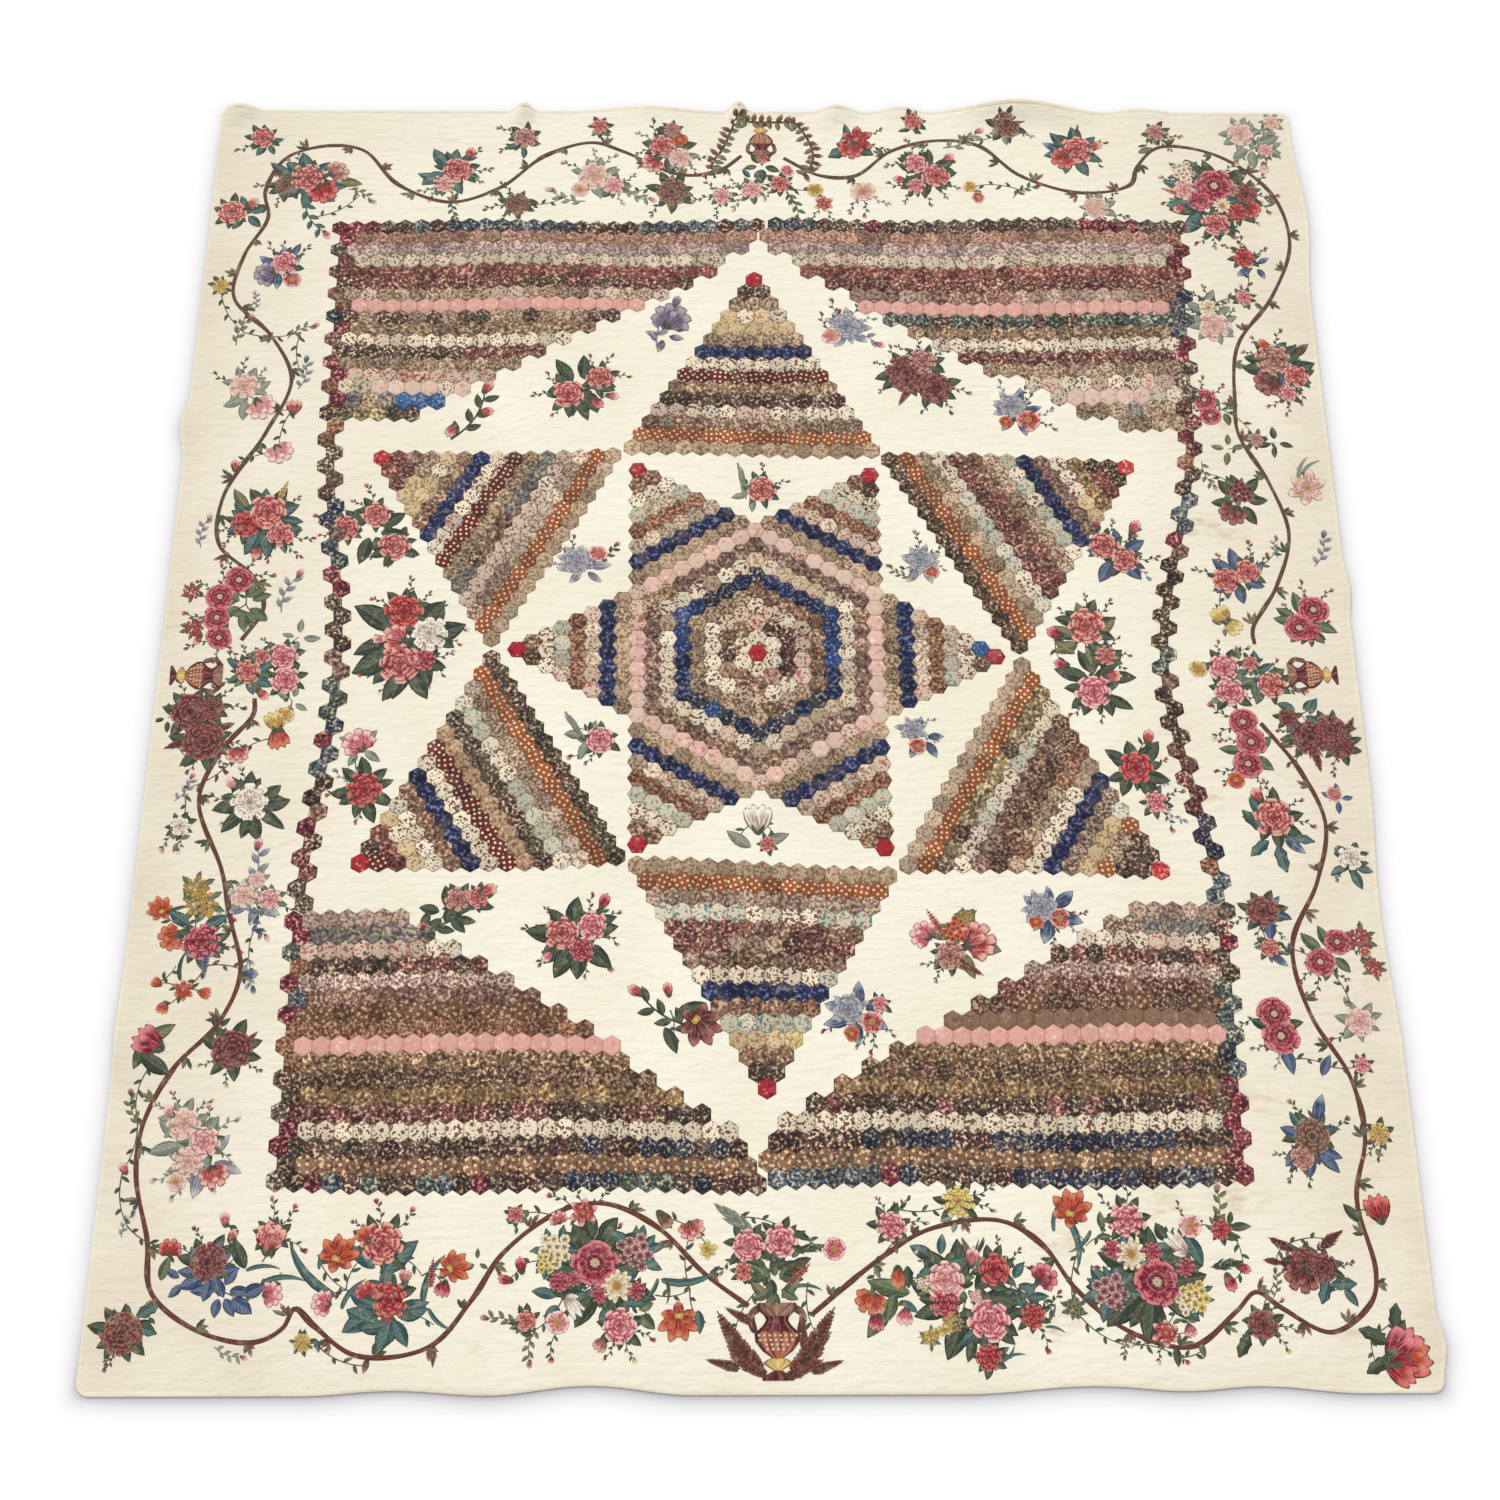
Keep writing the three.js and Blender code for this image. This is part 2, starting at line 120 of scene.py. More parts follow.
def make_swells():
    """The waves of the swell: across, along, phase, rise."""
    chance = random.Random(SEEDS["swell"])
    waves = []
    for _ in range(SWELLS):
        length = chance.uniform(*SWELL_LENGTHS)
        angle = chance.uniform(0, math.tau)
        waves.append((math.cos(angle) * math.tau / length, math.sin(angle) * math.tau / length,
                      chance.uniform(0, math.tau), SWELL_RISE * length))
    return waves


WAVES = make_swells()


def swell(x, y):
    """Height of the quilt's swell, mm, never below zero."""
    total = np.zeros(np.broadcast(x, y).shape)
    for across, along, phase, rise in WAVES:
        total += rise * np.sin(across * x + along * y + phase)
    return SWELL_HALF + SWELL_HALF * np.tanh(total)


# Meshes with values at their points

ATTRIBUTES = {1: ("FLOAT", "value"), 3: ("FLOAT_VECTOR", "vector"), 4: ("FLOAT_COLOR", "color")}


class Pieces:
    """Points, faces and named values at the points, gathered for one mesh. Points are in mm."""

    def __init__(self):
        self.points = []
        self.faces = []
        self.values = {}
        self.count = 0

    def add(self, points, faces, **values):
        self.points.append(points)
        self.faces.extend([[i + self.count for i in face] for face in faces])
        for name, value in values.items():
            value = np.atleast_1d(np.asarray(value, float))
            rows = np.broadcast_to(value, (len(points), value.shape[-1]))
            self.values.setdefault(name, []).append(rows)
        self.count += len(points)

    def shape(self, name, material):
        mesh = bpy.data.meshes.new(name)
        mesh.from_pydata((np.concatenate(self.points) * MM).tolist(), [], self.faces)
        for key, rows in self.values.items():
            rows = np.concatenate(rows).astype(np.float32)
            kind, field = ATTRIBUTES[rows.shape[1]]
            mesh.attributes.new(key, kind, "POINT").data.foreach_set(field, rows.ravel())
        mesh.shade_smooth()
        mesh.materials.append(material)
        made = bpy.data.objects.new(name, mesh)
        bpy.context.scene.collection.objects.link(made)
        return made

    def make(self, name, material, slot=None, replaces=()):
        made = self.shape(name, material)
        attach(made, "root")
        if replaces:
            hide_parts(*replaces)
        return made


def grid_faces(columns, rows):
    return [[j * columns + i, j * columns + i + 1, (j + 1) * columns + i + 1, (j + 1) * columns + i]
            for j in range(rows - 1) for i in range(columns - 1)]


def strip_faces(columns, rows):
    """Faces of a strip whose rows of points run from its left to its right."""
    return [[a, d, c, b] for a, b, c, d in grid_faces(columns, rows)]


def loop_faces(count, loops):
    """Faces between closed loops of points, each loop beside the one before."""
    faces = []
    for base in range(0, count * (loops - 1), count):
        for i in range(count):
            after = (i + 1) % count
            faces.append([base + i, base + count + i, base + count + after, base + after])
    return faces


def right_of(ahead):
    """Directions to the right of the directions ahead, of length 1."""
    return np.column_stack([ahead[:, 1], -ahead[:, 0]]) / np.linalg.norm(ahead, axis=1)[:, None]


def ribbon(middle, side, half, across):
    """Points of a flat strip along a middle line: its sideways directions, half widths and shares across."""
    sideways = side[:, None, :] * half[:, None, None] * across[None, :, None]
    return (middle[:, None, :] + sideways).reshape(-1, 2)


def linear(colour):
    """A display colour, 0 to 255, as linear red, green, blue and alpha."""
    share = np.asarray(colour, float) / 255
    low = share / 12.92
    high = ((share + 0.055) / 1.055) ** 2.4
    return np.append(np.where(share <= 0.04045, low, high), 1.0)


# Shader nodes

class Shader:
    """A material's node tree, with short ways to add the nodes that these cloths use."""

    def __init__(self, name, roughness=0.9, sheen=0.25):
        self.material = bpy.data.materials.new(name)
        self.material.use_nodes = True
        self.tree = self.material.node_tree
        self.surface = self.tree.nodes["Principled BSDF"]
        self.surface.inputs["Roughness"].default_value = roughness
        self.surface.inputs["Specular IOR Level"].default_value = 0.2
        self.surface.inputs["Sheen Weight"].default_value = sheen
        self.surface.inputs["Sheen Roughness"].default_value = 0.5

    def node(self, kind, inputs=None, **settings):
        made = self.tree.nodes.new(kind)
        for key, value in settings.items():
            setattr(made, key, value)
        for key, value in (inputs or {}).items():
            if isinstance(value, bpy.types.NodeSocket):
                self.tree.links.new(value, made.inputs[key])
            else:
                made.inputs[key].default_value = value
        return made

    def attribute(self, name, output="Fac"):
        return self.node("ShaderNodeAttribute", attribute_name=name).outputs[output]

    def place(self, stretch=(1, 1, 1)):
        """The point's place on the quilt, in metres, stretched for long-grained noise."""
        where = self.node("ShaderNodeTexCoord").outputs["Object"]
        return self.node("ShaderNodeMapping", {"Vector": where, "Scale": stretch}).outputs[0]

    def noise(self, where, scale, detail=2.0):
        inputs = {"Vector": where, "Scale": scale, "Detail": detail}
        return self.node("ShaderNodeTexNoise", inputs).outputs["Fac"]

    def cells(self, where, scale, randomness):
        inputs = {"Vector": where, "Scale": scale, "Randomness": randomness}
        return self.node("ShaderNodeTexVoronoi", inputs, voronoi_dimensions="2D").outputs["Distance"]

    def maths(self, operation, first, second=0.0, clamp=False):
        made = self.node("ShaderNodeMath", {0: first, 1: second}, operation=operation, use_clamp=clamp)
        return made.outputs[0]

    def times(self, first, second, clamp=False):
        return self.maths("MULTIPLY", first, second, clamp)

    def over(self, high, low, sharpness):
        """Rises from 0 to 1 where one value passes another."""
        return self.times(self.maths("SUBTRACT", high, low), sharpness, True)

    def between(self, value, low, high, to_low=0.0, to_high=1.0):
        inputs = {"Value": value, "From Min": low, "From Max": high, "To Min": to_low, "To Max": to_high}
        return self.node("ShaderNodeMapRange", inputs).outputs[0]

    def parts(self, name):
        """The three parts of a vector that the mesh carries."""
        return self.node("ShaderNodeSeparateXYZ", {0: self.attribute(name, "Vector")}).outputs

    def mix(self, share, first, second):
        made = self.node("ShaderNodeMix", {"Factor": share}, data_type="RGBA")
        for socket, value in ((made.inputs[6], first), (made.inputs[7], second)):
            if isinstance(value, bpy.types.NodeSocket):
                self.tree.links.new(value, socket)
            else:
                socket.default_value = tuple(value)
        return made.outputs[2]

    def bump(self, height, depth, strength, under=None):
        inputs = {"Height": height, "Distance": depth, "Strength": strength}
        if under:
            inputs["Normal"] = under
        return self.node("ShaderNodeBump", inputs).outputs[0]

    def weave(self, depth):
        """Plain weave: two crossed sets of threads."""
        where = self.place()
        inputs = {"Vector": where, "Scale": THREADS / math.tau, "Distortion": 0.6, "Detail": 0.0}
        sets = [self.node("ShaderNodeTexWave", inputs, bands_direction=axis) for axis in ("X", "Y")]
        return self.bump(self.maths("ADD", *[threads.outputs["Fac"] for threads in sets]), depth, 0.5)

    def worn(self, colour, scale, share, pale):
        """Paler rubbed places."""
        rubbed = self.noise(self.place(), scale, 3.0)
        return self.mix(self.between(rubbed, 0.55, 0.8, 0.0, share), colour, linear(pale))

    def puckered(self, scale, depth):
        """Woven cloth with the puckers of its seams."""
        return self.bump(self.noise(self.place(), scale, 2.0), depth, 0.6, self.weave(PRINT_THREAD))

    def finish(self, colour, normal=None):
        self.tree.links.new(colour, self.surface.inputs["Base Color"])
        if normal:
            self.tree.links.new(normal, self.surface.inputs["Normal"])
        return self.material


# Threads to a metre, and how high a thread stands, metres
THREADS = 900.0
GROUND_THREAD = 0.00012
PRINT_THREAD = 0.0001

CREAM = (242, 235, 213)
CREAM_SHADE = (228, 217, 190)
CREAM_LIGHT = (249, 243, 225)
CREAM_AGED = (219, 204, 180)
STAIN = (186, 138, 88)
# Painted shade in the seam valleys between patches
SEAM_PAINTED_SHADE = (52, 38, 32)
PATCH_WORN = (214, 196, 170)
FLOWER_WORN = (225, 214, 190)


def ground_cloth():
    """Old cream cotton: slubs along the weft, quilting puckers, age marks where the mesh says."""
    cloth = Shader("ground_cotton", roughness=0.92)
    clouds = cloth.noise(cloth.place(), 3.5, 3.0)
    slubs = cloth.noise(cloth.place((9, 230, 1)), 1.0, 3.0)
    flecks = cloth.noise(cloth.place((150, 320, 1)), 1.0)
    patchy = cloth.noise(cloth.place((5, 5, 1)), 1.0, 3.0)
    mottled = cloth.noise(cloth.place((26, 60, 1)), 1.0, 4.0)
    puckers = cloth.noise(cloth.place((30, 62, 1)), 1.0, 2.5)
    age = cloth.times(cloth.attribute("age"), cloth.between(patchy, 0.3, 0.7, 0.6, 1.3), clamp=True)
    stain = cloth.times(cloth.attribute("stain"), cloth.between(mottled, 0.42, 0.62), clamp=True)
    layers = (
        (cloth.between(clouds, 0.36, 0.64), CREAM),
        (cloth.between(slubs, 0.5, 0.75, 0.0, 0.38), CREAM_SHADE),
        (cloth.between(flecks, 0.6, 0.76, 0.0, 0.4), CREAM_SHADE),
        (age, CREAM_AGED),
        (stain, STAIN),
    )
    colour = linear(CREAM_LIGHT)
    for share, paint in layers:
        colour = cloth.mix(share, colour, linear(paint))
    normal = cloth.bump(puckers, 0.006, 0.7, cloth.weave(GROUND_THREAD))
    return cloth.finish(colour, cloth.bump(slubs, 0.0005, 0.5, normal))


def print_cloth():
    """Small printed cottons: dark and light blotches and dots in the inks that each patch carries, with
    painted shade darkening each patch towards its seams.
    """
    cloth = Shader("mosaic_prints")
    where = cloth.attribute("print_at", "Vector")
    dark_from, light_to, dot = cloth.parts("style")
    ground, ink, accent = [cloth.attribute(name, "Color") for name in ("ground", "ink", "accent")]
    seam = cloth.attribute("seam")
    shapes = cloth.noise(where, 1.0)
    dots = cloth.cells(where, 0.62, 0.15)
    colour = cloth.mix(cloth.over(shapes, dark_from, 26.0), ground, ink)
    colour = cloth.mix(cloth.over(light_to, shapes, 26.0), colour, accent)
    colour = cloth.mix(cloth.over(dot, dots, 14.0), colour, accent)
    colour = cloth.worn(colour, 26.0, 0.16, PATCH_WORN)
    # Painted shade: each patch darkens towards dark brown and towards its ink at its rim, where the seams
    # between patches sink
    colour = cloth.mix(cloth.between(seam, 0.0, 1.0, 0.35, 0.0), colour, linear(SEAM_PAINTED_SHADE))
    colour = cloth.mix(cloth.between(seam, 0.0, 1.0, 0.5, 0.0), colour, ink)
    return cloth.finish(colour, cloth.puckered(85.0, 0.002))


def chintz_cloth():
    """Printed petals, leaves and urns: an inked outline, veins or streaks, and paler tips."""
    cloth = Shader("flower_prints")
    along, across, mark = cloth.parts("blade")
    side = cloth.maths("ABSOLUTE", across)
    colour, light, ink = [cloth.attribute(name, "Color") for name in ("tint", "light", "ink")]
    leafy = cloth.maths("GREATER_THAN", mark, LEAF_MARK)
    petal = cloth.maths("SUBTRACT", 1.0, leafy)
    streak_at = {0: cloth.times(along, 1.4), 1: cloth.times(across, 3.6), 2: cloth.times(mark, 37.0)}
    streaks = cloth.noise(cloth.node("ShaderNodeCombineXYZ", streak_at).outputs[0], 1.4)
    slant = cloth.maths("SUBTRACT", along, cloth.times(side, 0.3))
    ribs = cloth.between(cloth.maths("SINE", cloth.times(slant, 36.0)), 0.5, 0.95)
    edge = cloth.maths("MAXIMUM", cloth.between(side, 0.74, 0.9), cloth.between(along, 0.93, 0.97))
    layers = (
        (cloth.between(streaks, 0.5, 0.64, 0.0, 0.55), light),
        (cloth.times(cloth.between(streaks, 0.5, 0.4, 0.0, 0.85), petal), ink),
        (cloth.times(cloth.between(along, 0.62, 0.84, 0.0, 0.9), petal), light),
        (cloth.times(cloth.between(across, 0.0, 0.06, 0.0, 0.5), leafy), light),
        (cloth.times(cloth.times(ribs, leafy), 0.6), ink),
        (cloth.times(cloth.times(cloth.between(side, 0.12, 0.04), leafy), 0.7), light),
        (cloth.times(cloth.between(along, 0.42, 0.05, 0.0, 0.8), petal), ink),
        (cloth.times(edge, 0.9), ink),
    )
    for share, paint in layers:
        colour = cloth.mix(share, colour, paint)
    colour = cloth.worn(colour, 60.0, 0.25, FLOWER_WORN)
    return cloth.finish(colour, cloth.puckered(120.0, 0.001))


# Cover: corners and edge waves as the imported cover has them, mm
CORNERS = {"foot_left": (-1246, -1484), "foot_right": (1240, -1497),
           "head_left": (-1178, 1345), "head_right": (1250, 1396)}
# side, where along it from the star's middle, half length, swing outwards, lift
EDGE_WAVES = [
    ("head", -1140, 60, 6, 18), ("head", -505, 34, 7, 22), ("head", -230, 170, 12, 4),
    ("head", -20, 30, 10, 26), ("head", 205, 60, 8, 16), ("head", 350, 70, 9, 9),
    ("head", 620, 210, 20, 22), ("head", 905, 90, 7, 6),
    ("right", 1100, 220, 16, 0), ("right", 160, 80, 6, 4), ("right", -560, 300, -12, 0),
    ("right", -1410, 70, 12, 0),
    ("foot", 900, 190, -13, 0), ("foot", 590, 240, -14, 0), ("foot", -330, 190, -17, 0),
    ("foot", -680, 170, -9, 0),
    ("left", -800, 130, 3, 5), ("left", 520, 90, 12, 7),
]
EDGES = (("foot", "foot_left", "foot_right"), ("right", "foot_right", "head_right"),
         ("head", "head_right", "head_left"), ("left", "head_left", "foot_left"))
CORNER_ROUND = 24
LIFT_REACH = 62
LIFT_TRIES = 8
RIM_ROOM = 6  # the least that an applique stays inside the rim
COVER_SIZE = (2486, 2861)
COVER_GRID = (262, 300)
BACK_GRID = (131, 150)
BACK_INSET = 0.001  # share of the cover
BACK_HIGH = 0.12
BACK_AGE = 0.35
SWELL_FROM = 60  # the swell fades out over this width beside the rim
HEM_WIDTH = 9
HEM_DIP = 1.2
HEM_STEP = 6
HEM_AGE = 0.5
# The hem's section from the top round to the back: how far inside the rim, height
HEM_SECTION = ((10, 2.75), (9, 2.9), (7.5, 3.35), (4, 3.5), (1.2, 3.0), (0, 1.9), (0.4, 0.8), (2, 0.15),
               (9, 0.1))
HEM_PUCKERS = ((0.35, 1.7), (0.25, 0.43))  # rise, turn from one point of the rim to the next

# Ageing of the cloth: towards the sides and near the rim, as strength and reach
SIDE_AGE = (0.42, 600)
RIM_AGE = (0.2, 120)
# Age marks: photo x, photo y, radius mm, strength
STAINS = [
    (1200, 528, 80, 0.5), (1230, 532, 60, 0.4), (1240, 1200, 90, 0.4), (1060, 1240, 90, 0.35),
    (1050, 1330, 60, 0.5), (1075, 1315, 50, 0.5), (1350, 1330, 60, 0.3), (440, 140, 60, 0.25),
    (1225, 420, 70, 0.4), (1240, 300, 60, 0.25), (1210, 800, 60, 0.3), (1255, 1100, 80, 0.3),
    (1165, 1205, 60, 0.4), (1370, 1215, 60, 0.3), (480, 1345, 50, 0.2), (1230, 395, 50, 0.4),
]
STAIN_STRETCH = 1.6


def bell(distance):
    return np.where(np.abs(distance) < 1, np.cos(np.clip(distance, -1, 1) * math.pi / 2) ** 2, 0.0)


def edge_swing(side, start, end, share):
    """How far an edge swings outwards and lifts, mm, at a share of its length."""
    axis = 1 if side in ("left", "right") else 0
    place = start[axis] + (end[axis] - start[axis]) * share
    out = np.zeros_like(share)
    lift = np.zeros_like(share)
    for wave_side, at, half, wave_out, wave_lift in EDGE_WAVES:
        if wave_side == side:
            out += wave_out * bell((place - at) / half)
            lift += wave_lift * bell((place - at) / half)
    return out, lift


def beside_edges(x, y):
    """For each side: how far inside the rim a place is, the rim's lift there, mm, and the way inwards."""
    for side, first, last in EDGES:
        start, end = np.array(CORNERS[first]), np.array(CORNERS[last])
        length = np.linalg.norm(end - start)
        ahead = (end - start) / length
        right, up = x - STAR_AT[0] - start[0], y - STAR_AT[1] - start[1]
        out, lift = edge_swing(side, start, end, (right * ahead[0] + up * ahead[1]) / length)
        yield ahead[0] * up - ahead[1] * right + out, lift, np.array([-ahead[1], ahead[0]])


def edge_lift(x, y):
    """How far the edge waves lift a place of the cloth, mm."""
    return sum(lift * bell(inside / LIFT_REACH) for inside, lift, _ in beside_edges(x, y))


def room(at):
    """How far a place is inside the cover's rim, mm."""
    return min(inside for inside, _, _ in beside_edges(at[0], at[1]))


def rounded(across, along):
    """Pulls the shares near each corner in, so that the corners are round."""
    size = np.array(COVER_SIZE)
    near = [np.minimum(share, 1 - share) * width for share, width in zip((across, along), size)]
    u, v = [np.clip(1 - distance / CORNER_ROUND, 0, 1) for distance in near]
    pulled = (u * np.sqrt(1 - v * v / 2), v * np.sqrt(1 - u * u / 2))
    result = []
    for share, old, new, distance, width in zip((across, along), (u, v), pulled, near, size):
        moved = np.where(old > 0, (1 - new) * CORNER_ROUND, distance) / width
        result.append(np.where(share < 0.5, moved, 1 - moved))
    return result


def cover_at(across, along):
    """Points of the cover's top, mm, from shares of its width and length."""
    s, t = rounded(across, along)
    foot_left, foot_right, head_left, head_right = [np.array(CORNERS[name], float) for name in (
        "foot_left", "foot_right", "head_left", "head_right")]
    flat = ((1 - s) * (1 - t))[..., None] * foot_left + (s * (1 - t))[..., None] * foot_right
    flat = flat + ((1 - s) * t)[..., None] * head_left + (s * t)[..., None] * head_right
    lift = np.zeros_like(s)
    sides = (("foot", foot_left, foot_right, s, t, COVER_SIZE[1]),
             ("right", foot_right, head_right, t, 1 - s, COVER_SIZE[0]),
             ("head", head_right, head_left, 1 - s, 1 - t, COVER_SIZE[1]),
             ("left", head_left, foot_left, 1 - t, s, COVER_SIZE[0]))
    for side, start, end, share, away, size in sides:
        run = end - start
        outward = np.array([run[1], -run[0]]) / np.linalg.norm(run)
        out, up = edge_swing(side, start, end, share)
        flat = flat + (out * (1 - away) ** 6)[..., None] * outward
        lift = lift + up * bell(away * size / LIFT_REACH)
    flat = flat + STAR_AT
    return flat[..., 0], flat[..., 1], lift


def cover_grid(columns, rows):
    across, along = np.meshgrid(np.linspace(0, 1, columns), np.linspace(0, 1, rows))
    return across.ravel(), along.ravel()


def stains_at(x, y):
    """How strongly the age marks show at each place."""
    stain = np.zeros_like(x)
    for photo_x, photo_y, radius, strength in STAINS:
        at = on_quilt(photo_x, photo_y)
        away = np.hypot(x - at[0], (y - at[1]) * STAIN_STRETCH)
        stain = np.maximum(stain, strength * bell(away / radius))
    return stain


def make_cover():
    cloth = ground_cloth()
    across, along = cover_grid(*COVER_GRID)
    x, y, lift = cover_at(across, along)
    rim = np.minimum(np.minimum(across, 1 - across) * COVER_SIZE[0],
                     np.minimum(along, 1 - along) * COVER_SIZE[1])
    z = COVER_TOP - COVER_SINK + swell(x, y) * np.clip(rim / SWELL_FROM, 0, 1) + lift
    z -= HEM_DIP * (1 - np.clip(rim / HEM_WIDTH, 0, 1))
    age = SIDE_AGE[0] * np.clip((np.abs(x) - SIDE_AGE[1]) / SIDE_AGE[1], 0, 1)
    age += RIM_AGE[0] * np.exp(-rim / RIM_AGE[1])
    top = Pieces()
    top.add(np.stack([x, y, z], 1), grid_faces(*COVER_GRID), stain=stains_at(x, y)[:, None],
            age=age[:, None])
    cover = top.make("cover_top", cloth, "ground_cotton", ["cover"])
    hem = make_hem(cloth)
    back = make_back(cloth)


def rim_loop():
    """Shares across and along at even steps round the cover's edge, anticlockwise."""
    corners = ((0, 0), (1, 0), (1, 1), (0, 1), (0, 0))
    loop = []
    for number, (start, end) in enumerate(zip(corners, corners[1:])):
        count = round(COVER_SIZE[number % 2] / HEM_STEP)
        for i in range(count):
            loop.append([start[k] + (end[k] - start[k]) * i / count for k in (0, 1)])
    return np.array(loop)


def make_hem(cloth):
    """The turned-in edge: a soft roll from the top, round the rim and under."""
    x, y, lift = cover_at(*rim_loop().T)
    rim = np.column_stack([x, y])
    inward = -right_of(np.roll(rim, -2, 0) - np.roll(rim, 2, 0))
    pucker = sum(rise * np.sin(np.arange(len(rim)) * turn) for rise, turn in HEM_PUCKERS)
    points = []
    for inset, height in HEM_SECTION:
        puffed = pucker * 0.5 if height > 2 else 0
        points.append(np.column_stack([rim + inward * inset, height + lift + puffed]))
    faces = [face[::-1] for face in loop_faces(len(rim), len(HEM_SECTION))]
    hem = Pieces()
    hem.add(np.concatenate(points), faces, stain=0.0, age=HEM_AGE)
    return hem.make("cover_hem", cloth, "ground_cotton")


def make_back(cloth):
    across, along = cover_grid(*BACK_GRID)
    width = 1 - 2 * BACK_INSET
    x, y, lift = cover_at(BACK_INSET + across * width, BACK_INSET + along * width)
    faces = [face[::-1] for face in grid_faces(*BACK_GRID)]
    back = Pieces()
    back.add(np.stack([x, y, BACK_HIGH + lift], 1), faces, stain=0.0, age=BACK_AGE)
    return back.make("cover_back", cloth, "ground_cotton")


# How a print covers its cloth: dark blotches above the first noise value, light ones below the second,
# then the share of dots and the size of a feature in mm
STYLES = {
    "floral": (0.55, 0.43, 0.0, 7.5), "cream": (0.55, 0.4, 0.0, 8.5), "sprig": (0.56, 0.41, 0.0, 6),
    "speckle": (0.54, 0.45, 0.0, 6), "spots": (0.6, 0.0, 0.27, 7), "plain": (0.6, 0.38, 0.0, 9),
    "dark": (0.52, 0.42, 0.0, 6.5), "flowers": (0.57, 0.39, 0.25, 9),
}

